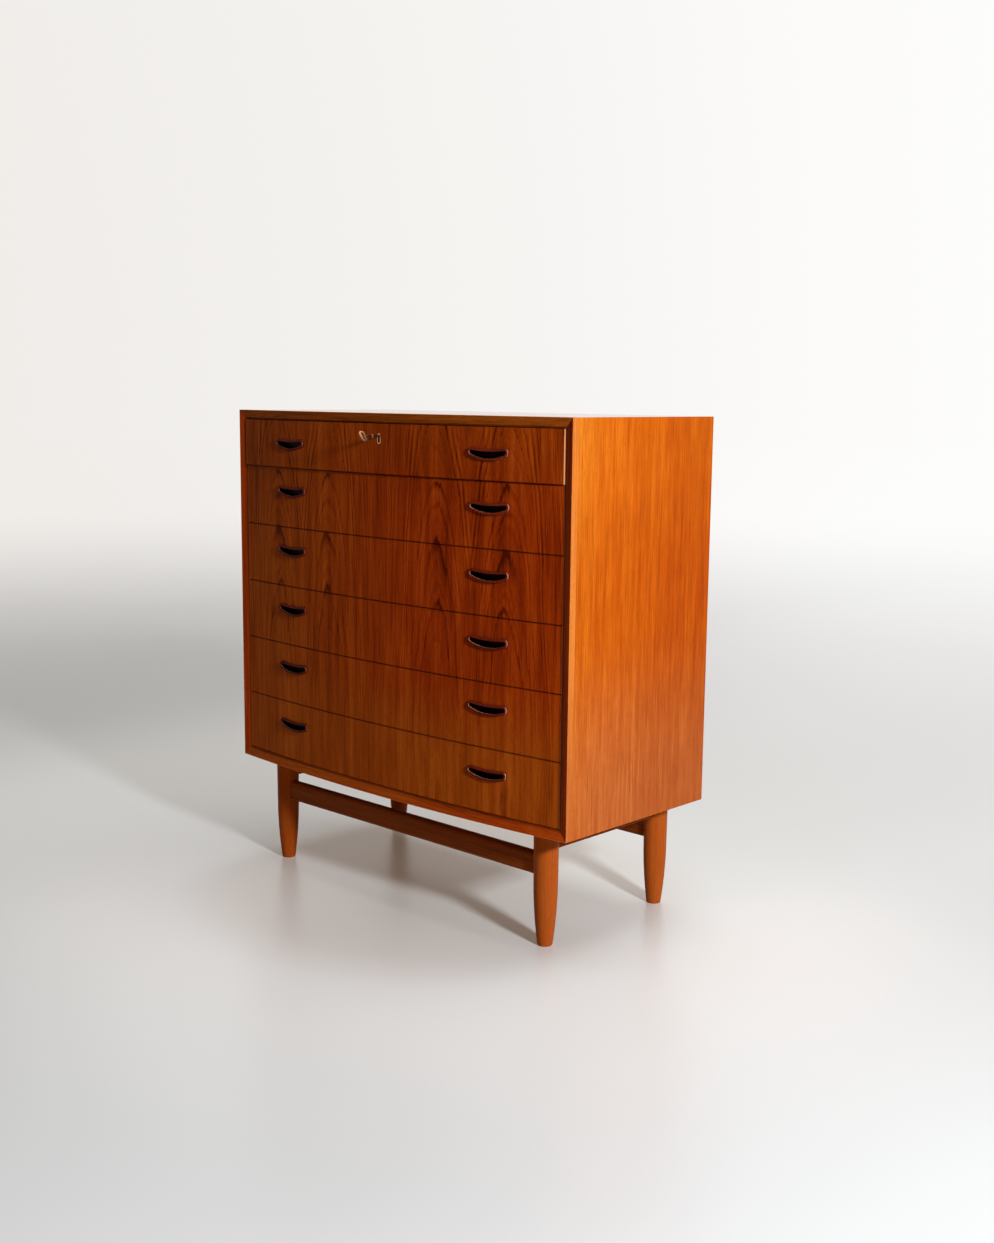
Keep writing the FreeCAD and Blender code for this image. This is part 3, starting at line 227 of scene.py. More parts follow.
# Colours of wood: dark lines, body, light lines
TEAK_FRONT = ((0.14, 0.014, 0.0010), (0.49, 0.080, 0.0045), (0.80, 0.170, 0.013))
TEAK_FRONT_RED = ((0.12, 0.009, 0.0006), (0.45, 0.043, 0.0022), (0.76, 0.110, 0.007))
TEAK_TOP = ((0.34, 0.070, 0.007), (0.56, 0.125, 0.014), (0.70, 0.190, 0.030))
TEAK_SIDE = ((0.50, 0.062, 0.002), (0.67, 0.112, 0.003), (0.86, 0.190, 0.008))
TEAK_SIDE_PALE = ((0.48, 0.088, 0.016), (0.64, 0.148, 0.030), (0.84, 0.230, 0.054))
TEAK_SIDE_GOLDEN = ((0.58, 0.110, 0.005), (0.76, 0.185, 0.009), (0.92, 0.270, 0.020))
TEAK_EDGE = ((0.68, 0.165, 0.020), (0.86, 0.245, 0.038), (0.95, 0.320, 0.060))
TEAK_EDGE_LOW = ((0.52, 0.105, 0.018), (0.69, 0.165, 0.034), (0.82, 0.240, 0.056))
TEAK_BEVEL = ((0.20, 0.018, 0.002), (0.46, 0.052, 0.004), (0.62, 0.095, 0.009))
TEAK_BEVEL_BROWN = ((0.24, 0.040, 0.003), (0.52, 0.110, 0.009), (0.66, 0.160, 0.016))
TEAK_LEG = ((0.34, 0.060, 0.007), (0.58, 0.116, 0.015), (0.72, 0.165, 0.026))
# A darker copy of the legs' teak: painted shade for the left legs, which stand in the chest's
# shadow
TEAK_LEG_SHADED = ((0.29, 0.045, 0.004), (0.49, 0.086, 0.009), (0.62, 0.128, 0.016))
TEAK_RAIL = ((0.18, 0.030, 0.003), (0.36, 0.066, 0.008), (0.48, 0.100, 0.014))
TEAK_PULL = ((0.09, 0.008, 0.002), (0.21, 0.019, 0.006), (0.31, 0.036, 0.012))
PALE_WOOD = ((0.40, 0.26, 0.14), (0.62, 0.45, 0.27), (0.74, 0.57, 0.37))
PLY_WOOD = ((0.36, 0.20, 0.10), (0.53, 0.34, 0.19), (0.62, 0.43, 0.26))
BEECH_WOOD = ((0.42, 0.25, 0.13), (0.58, 0.39, 0.22), (0.68, 0.49, 0.31))
BACK_WOOD = ((0.26, 0.11, 0.04), (0.40, 0.19, 0.075), (0.50, 0.26, 0.11))

# Single colours on the wood, and tints of its gloss
# Painted highlight on the pulls' lower lip and ends
PULL_HIGHLIGHT = (0.85, 0.40, 0.30)
DARK_LINE = (0.28, 0.040, 0.002)
# Painted highlight on the fronts' ends, where the lamp catches them
END_HIGHLIGHT = (0.80, 0.36, 0.15)
# The pores' colour, which also paints the shade in the gaps
PORE_AND_SHADE = (0.03, 0.008, 0.002)
# Painted shade inside the pulls' finger recess
RECESS_SHADE = (0.004, 0.0015, 0.001)
WARM_GLOSS = (1.0, 0.45, 0.20, 1.0)
WHITE_GLOSS = (1.0, 1.0, 1.0, 1.0)

# Colours of metal: bare, tarnished
AGED_BRASS = ((0.30, 0.155, 0.075), (0.11, 0.050, 0.020))
RUBBED_BRASS = ((0.66, 0.38, 0.21), (0.26, 0.13, 0.06))
DULL_STEEL = ((0.56, 0.54, 0.50), (0.24, 0.22, 0.20))

# Floor: its colours and gloss, and the distances over which it turns into the backdrop
FLOOR_RADIUS = 30.0
FLOOR_SIDES = 96
FLOOR_PATCHES = Layer(1.1, 1.1, 1.0, detail=3.0)
FLOOR_COLOURS = ((0.83, 0.85, 0.86), (0.87, 0.89, 0.90))
FLOOR_BOUNCE = (0.38, 0.37, 0.36)
FLOOR_ROUGHNESS = 0.30
FLOOR_PATCH_ROUGHNESS = 0.10
FLOOR_SPECULAR = 0.40
FLOOR_FADE_START = 0.8
FLOOR_FADE_START_LEFT = 2.2
FLOOR_FADE_END = 11.0
FADE_DIRECTION_SPAN = (-0.95, -0.10)

# The floor's own light to the camera: its colours near the chest and further out, and its
# strength by distance, by how far in front of the chest a place lies, and to the left
LIFT_NEAR = (0.105, 0.075, 0.052)
LIFT_OUTSIDE = (0.105, 0.098, 0.092)
LIFT_COLOUR_SPAN = (0.40, 0.60)
LIFT_RISE_SPAN = (0.40, 0.60, 1.0, 1.8)
LIFT_FALL_SPAN = (0.60, 1.35, 1.0, 0.0)
LIFT_FRONT_SPAN = (-0.40, 0.50)
LIFT_LEFT_SPAN = (-2.0, -1.3, 0.4, 1.0)

# Backdrop and fill light
DIM_WALL = (0.87, 0.845, 0.815)
BRIGHT_WALL = (0.99, 0.985, 0.98)
WALL_DIRECTION_SPAN = (-0.95, -0.35)
FILL_COLOUR = (1.0, 0.92, 0.82, 1.0)
FILL_STRENGTH = 0.035

# The camera stands where the photograph's perspective puts it, and leans a little
CAMERA_PLACE = (2.1493, -2.1420, 1.0327)
CAMERA_AZIMUTH = math.radians(43.25)
CAMERA_DROP = math.radians(8.75)
CAMERA_ROLL = math.radians(0.58)
CAMERA_FOCUS_PIXELS = 1474.0
PICTURE_HEIGHT_PIXELS = 1243.0
SENSOR_MM = 36.0
CAMERA_NEAR = 0.05
CAMERA_FAR = 60.0


class Surface:
    """A node material under construction."""

    def __init__(self, name):
        self.material = bpy.data.materials.new(name)
        self.material.use_nodes = True
        self.tree = self.material.node_tree
        self.shader = self.tree.nodes["Principled BSDF"]

    def feed(self, socket, value):
        """Links a socket to another, or sets its plain value."""
        if isinstance(value, bpy.types.NodeSocket):
            self.tree.links.new(value, socket)
        elif value is not None:
            socket.default_value = value

    def math(self, operation, first, second=None):
        node = self.tree.nodes.new("ShaderNodeMath")
        node.operation = operation
        self.feed(node.inputs[0], first)
        self.feed(node.inputs[1], second)
        return node.outputs[0]

    def add(self, first, *others):
        for other in others:
            first = self.math("ADD", first, other)
        return first

    def times(self, first, second):
        return self.math("MULTIPLY", first, second)

    def split(self, vector):
        """X, Y and Z of a vector."""
        node = self.tree.nodes.new("ShaderNodeSeparateXYZ")
        self.feed(node.inputs[0], vector)
        return node.outputs[0], node.outputs[1], node.outputs[2]

    def vector(self, x, y, z):
        node = self.tree.nodes.new("ShaderNodeCombineXYZ")
        for socket, value in zip(node.inputs, (x, y, z)):
            self.feed(socket, value)
        return node.outputs[0]

    def position(self):
        """X, Y and Z in the part's frame, with the piece at rest."""
        return self.split(self.tree.nodes.new("ShaderNodeTexCoord").outputs["Object"])

    def facing(self):
        """X, Y and Z of the direction that the surface faces."""
        return self.split(self.tree.nodes.new("ShaderNodeNewGeometry").outputs["Normal"])

    def grain_noise(self, places, layer):
        """A layer of noise at places across the grain, in depth and along it, centred on zero."""
        scaled = [self.times(place, count) for place, count in zip(places, layer.counts)]
        node = self.tree.nodes.new("ShaderNodeTexNoise")
        self.feed(node.inputs["Vector"], self.vector(*scaled))
        return self.weigh_noise(node, layer)

    def line_noise(self, place, layer):
        """A layer of noise along one line, centred on zero."""
        node = self.tree.nodes.new("ShaderNodeTexNoise")
        node.noise_dimensions = "1D"
        self.feed(node.inputs["W"], self.times(place, layer.counts[0]))
        return self.weigh_noise(node, layer)

    def weigh_noise(self, node, layer):
        node.inputs["Scale"].default_value = 1.0
        node.inputs["Detail"].default_value = layer.detail
        node.inputs["Roughness"].default_value = layer.roughness
        return self.times(self.add(node.outputs[0], -0.5), layer.weight)

    def stretch(self, value, low, high, bottom=0.0, top=1.0):
        """Maps a range of values onto another, smoothly, and holds it at the ends."""
        node = self.tree.nodes.new("ShaderNodeMapRange")
        node.interpolation_type = "SMOOTHSTEP"
        for socket, number in zip(node.inputs, (value, low, high, bottom, top)):
            self.feed(socket, number)
        return node.outputs[0]

    def mix(self, share, first, second):
        """Mixes two numbers."""
        node = self.tree.nodes.new("ShaderNodeMix")
        self.feed(node.inputs[0], share)
        self.feed(node.inputs[2], first)
        self.feed(node.inputs[3], second)
        return node.outputs[0]

    def blend(self, share, first, second):
        """Mixes two colours."""
        node = self.tree.nodes.new("ShaderNodeMix")
        node.data_type = "RGBA"
        self.feed(node.inputs[0], share)
        for socket, value in ((node.inputs[6], first), (node.inputs[7], second)):
            is_socket = isinstance(value, bpy.types.NodeSocket)
            self.feed(socket, value if is_socket else (*value, 1.0))
        return node.outputs[2]

    def mix_shaders(self, share, first, second):
        """Mixes the outputs of two shaders."""
        node = self.tree.nodes.new("ShaderNodeMixShader")
        for socket, value in zip(node.inputs, (share, first, second)):
            self.feed(socket, value)
        return node.outputs[0]

    def ramp(self, tone, colours):
        """Spreads three colours over a tone from 0 to 1."""
        node = self.tree.nodes.new("ShaderNodeValToRGB")
        stops = node.color_ramp.elements
        stops[0].position = 0.05
        stops[0].color = (*colours[0], 1.0)
        stops[1].position = 0.95
        stops[1].color = (*colours[2], 1.0)
        stops.new(0.5).color = (*colours[1], 1.0)
        self.feed(node.inputs[0], tone)
        return node.outputs[0]

    def bump(self, height, depth):
        node = self.tree.nodes.new("ShaderNodeBump")
        node.inputs["Distance"].default_value = depth
        node.inputs["Strength"].default_value = 1.0
        self.feed(node.inputs["Height"], height)
        self.feed(self.shader.inputs["Normal"], node.outputs[0])

    def seen_directly(self):
        """1 for rays that show the background: from the camera, or off or through something."""
        path = self.tree.nodes.new("ShaderNodeLightPath")
        direct = self.math("MAXIMUM", path.outputs["Is Camera Ray"], path.outputs["Is Glossy Ray"])
        return self.math("MAXIMUM", direct, path.outputs["Is Transmission Ray"])


class Sky(Surface):
    """The world's nodes, built with the same helpers as a material's."""

    def __init__(self):
        self.tree = bpy.context.scene.world.node_tree

    def direction_x(self):
        """X of the direction in which a ray leaves the scene."""
        return self.split(self.tree.nodes.new("ShaderNodeTexCoord").outputs["Generated"])[0]


# Wood figure, at places (across the grain, in depth, along the grain)
def fibre(s, places, weight=1.0):
    """Fine streaks of fibre, centred on zero."""
    return s.times(s.grain_noise(places, FIBRE), weight)


def pores(s, places, start):
    """1 on the short dark pores that lie along the grain, and 0 elsewhere."""
    return s.stretch(s.grain_noise(places, PORES), start, start + PORE_EDGE)


def straight_tone(s, places, spacing=0.005, contrast=1.0):
    """Tone from 0 to 1 of solid wood: uneven lines that fade in and out along the grain."""
    across, deep, along = places
    in_lines = (s.times(across, 1 / spacing), s.times(deep, 1 / spacing), along)
    tone = 0.5
    for layer in STRAIGHT_LAYERS:
        tone = s.add(tone, s.times(s.grain_noise(in_lines, layer), contrast))
    return tone


def ribbon_tone(s, places, line_weight=RIBBON_LINE_WEIGHT):
    """Tone from 0 to 1 of quarter-cut veneer: narrow ribbons with finer lines in them."""
    tone = s.add(s.times(s.grain_noise(places, RIBBON_LINES), line_weight), 0.5)
    for layer in RIBBON_LAYERS:
        tone = s.add(tone, s.grain_noise(places, layer))
    return tone


def dark_lines(s, places):
    """1 on the thin dark lines of quarter-cut veneer, and 0 elsewhere."""
    lines = s.stretch(s.grain_noise(places, DARK_LINES), *DARK_LINE_SPAN)
    patches = s.stretch(s.grain_noise(places, DARK_LINE_PATCHES), *DARK_LINE_PATCH_SPAN)
    return s.times(lines, patches)


def crown_tone(s, x, z):
    """Tone of the fronts' veneer: nested crowns that run on from drawer to drawer."""
    leaf = s.math("PINGPONG", s.add(x, -LEAF_SEAM), LEAF_WIDTH)
    leaf_places = (leaf, 0.0, z)
    places = (x, 0.0, z)
    height = s.times(s.add(z, -FRONT_LOW.z), 1 / (FRONT_HIGH.z - FRONT_LOW.z))
    height = s.math("MAXIMUM", height, 0.0)

    across = s.add(leaf, -CROWN_OFFSET, s.grain_noise(leaf_places, CROWN_SWAY))
    climb = s.times(s.math("POWER", height, CROWN_POWER), CROWN_CLIMB)
    spread = s.times(s.times(across, across), 1 / CROWN_OPENING)
    feather = s.grain_noise(leaf_places, CROWN_FEATHER)
    ring = s.add(climb, spread, feather, s.grain_noise(places, CROWN_WOBBLE))

    bold = s.line_noise(ring, BOLD_RINGS)
    patch = s.stretch(s.grain_noise(leaf_places, CROWN_PATCHES), *CROWN_PATCH_SPAN)
    calm = s.stretch(height, CALM_LOW, CALM_HIGH, CALM_RINGS, 1.0)
    dark = s.times(s.times(s.stretch(bold, *DARK_RING_SPAN), patch), calm)
    tip = s.stretch(s.math("ABSOLUTE", across), *CROWN_TIP_SPAN)
    shade = s.times(dark, s.add(s.times(tip, CROWN_TIP_TONE), DARK_RING_TONE))

    light = s.times(s.stretch(bold, *LIGHT_RING_SPAN), LIGHT_RING_TONE)
    figure = s.add(light, s.line_noise(ring, FINE_RINGS))
    for layer in FRONT_LAYERS:
        figure = s.add(figure, s.grain_noise(places, layer))
    figure = s.times(figure, s.stretch(height, CALM_LOW, CALM_HIGH, CALM_FIGURE, 1.0))
    return s.add(shade, figure, s.grain_noise(places, FRONT_BROAD), FRONT_TONE)


def wood_finish(s, colour, places, roughness, specular=0.04, pore_start=0.10, pore_share=0.40,
                relief=0.00010):
    """Puts pores, gloss and a shallow relief on wood of a given colour."""
    strands = fibre(s, places)
    holes = pores(s, places, pore_start)
    s.feed(s.shader.inputs["Base Color"], s.blend(s.times(holes, pore_share), colour, PORE_AND_SHADE))
    dull = s.add(s.times(strands, FIBRE_ROUGHNESS), s.times(holes, PORE_ROUGHNESS))
    s.feed(s.shader.inputs["Roughness"], s.add(dull, roughness))
    s.bump(s.add(s.times(strands, FIBRE_RELIEF), s.times(holes, PORE_RELIEF)), relief)
    s.shader.inputs["Specular IOR Level"].default_value = specular
    s.shader.inputs["Specular Tint"].default_value = WARM_GLOSS


def grain_places(s, direction):
    """Places for grain along X, Y or Z."""
    x, y, z = s.position()
    if direction == "X":
        return z, y, x
    if direction == "Y":
        return z, x, y
    return y, x, z


def plain_wood(name, direction, colours, roughness=0.36, spacing=0.005, contrast=1.0,
               pore_share=0.40):
    """Solid wood with straight grain along one direction."""
    s = Surface(name)
    places = grain_places(s, direction)
    tone = s.add(straight_tone(s, places, spacing, contrast), fibre(s, places, FIBRE_TONE))
    wood_finish(s, s.ramp(tone, colours), places, roughness, pore_share=pore_share)
    return s.material


def rotary_wood(name, direction, colours):
    """Plywood's rotary-cut face, which is broad and wavy."""
    s = Surface(name)
    places = grain_places(s, direction)
    wavy = s.add(places[0], s.grain_noise(places, ROTARY_WAVE))
    tone = s.add(s.line_noise(wavy, ROTARY_LINES), fibre(s, places, FAINT_FIBRE_TONE), 0.5)
    wood_finish(s, s.ramp(tone, colours), places, roughness=0.55, specular=0.12,
                pore_start=0.14, pore_share=0.25)
    return s.material


def face_depth(s, x, y, z):
    """How far a place lies behind the bowed face of its drawer's front at rest."""
    ajar = s.times(s.math("GREATER_THAN", z, TOP_DRAWER_LOW.z), AJAR)
    return s.add(y, s.times(s.times(x, x), -0.5 / BOW_RADIUS), ajar, -FRONT_LOW.y)


def front_wood():
    """Crown-cut veneer on the bowed face, with straight-grained wood behind it."""
    s = Surface("teak_front_veneer")
    x, y, z = s.position()
    darker_right = s.stretch(x, 0.0, HALF_WIDTH, 0.0, FRONT_RIGHT_TONE)
    tone = s.add(crown_tone(s, x, z), fibre(s, (x, y, z), FAINT_FIBRE_TONE), darker_right)
    red = s.times(s.stretch(z, RED_LOW, RED_HIGH), s.stretch(x, RED_LEFT, RED_RIGHT))
    red = s.times(red, s.stretch(z, RED_TOP_START, CASE_HIGH, 1.0, RED_TOP_SHARE))
    face = s.blend(red, s.ramp(tone, TEAK_FRONT), s.ramp(tone, TEAK_FRONT_RED))
    above_gap = s.add(z, GAP_HEIGHT / 2 - FRONT_LOW.z)
    from_gap = s.math("PINGPONG", above_gap, DRAWER_PITCH / 2)
    # Painted shade along the gaps between the fronts
    face = s.blend(s.stretch(from_gap, *GAP_SHADE_SPAN), face, PORE_AND_SHADE)
    core = s.ramp(straight_tone(s, (z, y, x)), TEAK_RAIL)
    behind = s.stretch(face_depth(s, x, y, z), VENEER, 2 * VENEER)
    from_middle = s.math("ABSOLUTE", x)
    # Painted highlight on the ends of the fronts
    lit_end = s.stretch(from_middle, FRONT_HIGH.x - VENEER, FRONT_HIGH.x - END_HIGHLIGHT_BLUR)
    colour = s.blend(lit_end, s.blend(behind, face, core), END_HIGHLIGHT)
    wood_finish(s, colour, (x, y, z), roughness=0.38, specular=0.02)
    return s.material


def side_wood():
    """Ribbon veneer on the outside of the case's sides, and a paler lining inside."""
    s = Surface("teak_side_veneer")
    x, y, z = s.position()
    places = (y, x, z)
    # Painted light: the sides brighter at the front and toward the top, darker toward the back
    painted_falloff = s.stretch(y, FRONT_LOW.y, EDGING_BACK + PAINTED_FALLOFF_DEPTH, PAINTED_FALLOFF_TONE, -PAINTED_FALLOFF_TONE)
    painted_light_above = s.stretch(z, BRIGHT_START, CASE_HIGH, 0.0, PAINTED_LIGHT_TONE)
    line_weight = s.stretch(z, PALE_LOW, PALE_HIGH, SIDE_LINES_LOW, SIDE_LINES_HIGH)
    ribbons = ribbon_tone(s, places, line_weight)
    tone = s.add(ribbons, fibre(s, places, FIBRE_TONE), painted_falloff, painted_light_above)
    above_foot = s.stretch(z, PALE_LOW, PALE_HIGH)
    veneer = s.blend(above_foot, s.ramp(tone, TEAK_SIDE_PALE), s.ramp(tone, TEAK_SIDE))
    near_front = s.stretch(y, EDGING_BACK - PANEL, EDGING_BACK + GOLDEN_DEPTH, GOLDEN_SHARE, 0.0)
    golden = s.times(near_front, s.stretch(z, PALE_HIGH, CASE_HIGH, GOLDEN_LOW_SHARE, 1.0))
    golden = s.add(golden, s.stretch(z, BRIGHT_START, CASE_HIGH, 0.0, BRIGHT_GOLDEN))
    veneer = s.blend(s.math("MINIMUM", golden, 1.0), veneer, s.ramp(tone, TEAK_SIDE_GOLDEN))
    veneer = s.blend(s.times(dark_lines(s, places), DARK_LINE_SHARE), veneer, DARK_LINE)
    outer = s.stretch(s.math("ABSOLUTE", x), HALF_WIDTH - 2 * VENEER, HALF_WIDTH - VENEER)
    colour = s.blend(outer, s.ramp(tone, BEECH_WOOD), veneer)
    wood_finish(s, colour, places, roughness=0.36, pore_share=0.22)
    return s.material


def top_wood():
    """Veneer on the top of the case, polished more than the rest, and a paler lining below."""
    s = Surface("teak_top_veneer")
    x, y, z = s.position()
    places = (y, z, x)
    tone = s.add(ribbon_tone(s, places), fibre(s, places, FIBRE_TONE))
    outer = s.stretch(z, CASE_HIGH - 2 * VENEER, CASE_HIGH - VENEER)
    colour = s.blend(outer, s.ramp(tone, BEECH_WOOD), s.ramp(tone, TEAK_TOP))
    wood_finish(s, colour, places, roughness=0.18, specular=1.0, relief=0.00002)
    s.shader.inputs["Specular Tint"].default_value = WHITE_GLOSS
    s.shader.inputs["Coat Weight"].default_value = TOP_COAT
    s.shader.inputs["Coat Roughness"].default_value = TOP_COAT_ROUGHNESS
    return s.material


def edging_wood():
    """Solid strips whose grain follows each strip, and meets at the mitres."""
    s = Surface("teak_edging")
    x, y, z = s.position()
    from_side = s.math("SUBTRACT", HALF_WIDTH, s.math("ABSOLUTE", x))
    from_end = s.math("MINIMUM", s.add(z, -CASE_LOW), s.math("SUBTRACT", CASE_HIGH, z))
    from_outside = s.math("MINIMUM", from_side, from_end)
    upright = s.math("LESS_THAN", from_side, from_end)
    tones = []
    for places in ((z, y, x), (x, y, z)):
        tones.append(s.add(straight_tone(s, places), fibre(s, places, FIBRE_TONE)))
    tone = s.mix(upright, *tones)
    at_top = s.stretch(z, CASE_HIGH - 2 * PANEL, CASE_HIGH - PANEL)
    at_left = s.stretch(x, BROWN_BEVEL_END, HALF_WIDTH, BROWN_BEVEL_LEFT, 0.0)
    brown = s.times(s.math("MAXIMUM", at_top, at_left), s.math("SUBTRACT", 1.0, upright))
    bevel = s.blend(brown, s.ramp(tone, TEAK_BEVEL), s.ramp(tone, TEAK_BEVEL_BROWN))
    # Painted shade along the inside of the edging, next to the gap at the fronts
    bevel = s.blend(s.stretch(from_outside, *EDGING_SHADE_SPAN), bevel, PORE_AND_SHADE)
    above_foot = s.stretch(z, PALE_LOW, PALE_HIGH)
    edge = s.blend(above_foot, s.ramp(tone, TEAK_EDGE_LOW), s.ramp(tone, TEAK_EDGE))
    inside = s.stretch(from_outside, EDGING_OUTSIDE, VENEER)
    colour = s.blend(inside, edge, bevel)
    wood_finish(s, colour, (x, y, z), roughness=0.34, specular=0.02, pore_start=0.13)
    return s.material


def pull_wood(node):
    """Dark carved wood, with painted shade in the finger recess and a painted highlight along its
    lip and ends.
    """
    low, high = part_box(node)
    s = Surface(node.replace("pulls", "pull_wood"))
    x, y, z = s.position()
    places = (z, y, x)
    right_pull = s.math("GREATER_THAN", x, 0.0)
    tone = s.add(straight_tone(s, places), fibre(s, places, FIBRE_TONE))
    # Painted shade: the left pulls, further from the lamp, are darker
    tone = s.add(tone, s.times(right_pull, -LEFT_PULL_SHADE), LEFT_PULL_SHADE)
    depth = face_depth(s, x, y, z)
    shaded_recess = s.stretch(depth, *RECESS_SHADE_SPAN)
    crest = s.stretch(depth, *CREST_SPAN)
    lip_low, lip_high = [low.z + share * (high.z - low.z) for share in LIP_END_SHARES]
    facing_x, _, facing_z = s.facing()
    lip = s.times(s.stretch(facing_z, *LIP_SLOPE_SPAN), s.stretch(z, lip_low, lip_high, 1.0, 0.0))
    lit_end = s.stretch(facing_x, *END_SLOPE_SPAN)
    patchy = s.stretch(s.grain_noise((x, y, z), HIGHLIGHT_PATCHES), *HIGHLIGHT_PATCH_SPAN)
    # Painted highlight on the crest, where it faces up along the lower lip or to the right at the
    # ends
    painted_highlight = s.times(s.times(crest, s.math("MAXIMUM", lip, lit_end)), patchy)
    painted_highlight = s.times(painted_highlight, s.add(s.times(right_pull, 1.0 - LEFT_PULL_HIGHLIGHT), LEFT_PULL_HIGHLIGHT))
    # Painted shade: the finger recess is near black
    colour = s.blend(shaded_recess, s.blend(painted_highlight, s.ramp(tone, TEAK_PULL), PULL_HIGHLIGHT), RECESS_SHADE)
    wood_finish(s, colour, places, roughness=0.30, specular=0.02, pore_start=0.14)
    coat = s.times(s.math("SUBTRACT", 1.0, shaded_recess), PULL_COAT)
    s.feed(s.shader.inputs["Coat Weight"], coat)
    s.shader.inputs["Coat Roughness"].default_value = PULL_COAT_ROUGHNESS
    s.shader.inputs["Coat IOR"].default_value = PULL_COAT_IOR
    return s.material


def metal(name, colours, roughness, tarnish=0.5):
    """Drawn or turned metal with brushing marks and a patchy tarnish."""
    s = Surface(name)
    places = s.position()
    marks = s.grain_noise(places, BRUSH_MARKS)
    stain = s.times(s.stretch(s.grain_noise(places, TARNISH), *TARNISH_SPAN), tarnish)
    s.feed(s.shader.inputs["Base Color"], s.blend(stain, *colours))
    s.shader.inputs["Metallic"].default_value = 1.0
    dull = s.add(s.times(marks, BRUSH_ROUGHNESS), s.times(stain, TARNISH_ROUGHNESS))
    s.feed(s.shader.inputs["Roughness"], s.add(dull, roughness))
    s.bump(marks, BRUSH_RELIEF)
    return s.material


def dress(material, *names):
    """Gives CAD nodes a material of their own in place of the plain one."""
    for name in names:
        slots = frame["nodes"][name].data.materials
        slots.clear()
        slots.append(material)


def dress_case():
    dress(side_wood(), "case_side_left", "case_side_right")
    dress(top_wood(), "case_top")
    dress(rotary_wood("bottom_plywood", "X", BACK_WOOD), "case_bottom")
    dress(edging_wood(), "front_edging")
    turned = plain_wood("teak_turned", "Z", TEAK_LEG, contrast=0.4, pore_share=0.20)
    # Painted shade: the left legs get the darker copy of the legs' teak
    shaded_turned = plain_wood("teak_turned_shaded", "Z", TEAK_LEG_SHADED, contrast=0.5,
                             pore_share=0.20)
    dress(turned, "leg_front_right", "leg_back_right")
    dress(shaded_turned, "leg_front_left", "leg_back_left")
    dress(plain_wood("teak_rail_along_x", "X", TEAK_RAIL), "stretcher_front", "stretcher_back")
    dress(plain_wood("teak_rail_along_y", "Y", TEAK_RAIL), "side_rail_left", "side_rail_right")
    dress(rotary_wood("back_plywood", "Z", BACK_WOOD), "back_panel")
    runner = plain_wood("beech_runner", "Y", BEECH_WOOD, roughness=0.45)
    dress(runner, "runners_left", "runners_right")


def dress_drawers():
    front = front_wood()
    pale = {"roughness": 0.50, "spacing": 0.007, "contrast": 0.8}
    side = plain_wood("drawer_side_wood", "Y", PALE_WOOD, **pale)
    back = plain_wood("drawer_back_wood", "X", PALE_WOOD, **pale)
    bottom = rotary_wood("drawer_plywood", "X", PLY_WOOD)
    drawers = [body for body in frame["bodies"] if body.startswith("drawer_")]
    for drawer in drawers:
        dress(front, drawer + "_front")
        dress(side, drawer + "_side_left", drawer + "_side_right")
        dress(back, drawer + "_back")
        dress(bottom, drawer + "_bottom")
        dress(pull_wood(drawer + "_pulls"), drawer + "_pulls")


def dress_metal():
    brass = metal("aged_brass", AGED_BRASS, roughness=0.28, tarnish=0.6)
    rubbed_brass = metal("rubbed_brass", RUBBED_BRASS, roughness=0.30, tarnish=0.4)
    steel = metal("dull_steel", DULL_STEEL, roughness=0.38)
    dress(brass, "key", "lock_bolt")
    dress(rubbed_brass, "escutcheon")
    dress(steel, "lock_case", "lock_screws", "frame_screws", "back_panel_screws", "runner_pins")


def disc(name, radius, sides):
    mesh = bpy.data.meshes.new(name)
    points = []
    for index in range(sides):
        angle = 2 * math.pi * index / sides
        points.append((radius * math.cos(angle), radius * math.sin(angle), 0.0))
    mesh.from_pydata(points, [], [tuple(range(sides))])
    item = bpy.data.objects.new(name, mesh)
    bpy.context.scene.collection.objects.link(item)
    return item


def wall_colour(s, toward_x):
    """The backdrop's colour: a little dimmer on the side that lies away from the lamp."""
    return s.blend(s.stretch(toward_x, *WALL_DIRECTION_SPAN), DIM_WALL, BRIGHT_WALL)


def floor_lift(s, x, y, reach):
    """Strength of the floor's own light: most just in front of the chest, little far left."""
    ring = s.times(s.stretch(reach, *LIFT_RISE_SPAN), s.stretch(reach, *LIFT_FALL_SPAN))
    in_front = s.stretch(s.math("SUBTRACT", x, y), *LIFT_FRONT_SPAN)
    near = s.add(s.times(in_front, s.add(ring, -1.0)), 1.0)
    return s.times(near, s.stretch(x, *LIFT_LEFT_SPAN))


def floor_fade(s, toward_x, reach):
    """Share of the backdrop in the floor, which grows with the distance and begins later left."""
    starts = [math.log10(start) for start in (FLOOR_FADE_START_LEFT, FLOOR_FADE_START)]
    start = s.stretch(toward_x, *FADE_DIRECTION_SPAN, *starts)
    return s.stretch(s.math("LOGARITHM", reach, 10.0), start, math.log10(FLOOR_FADE_END))


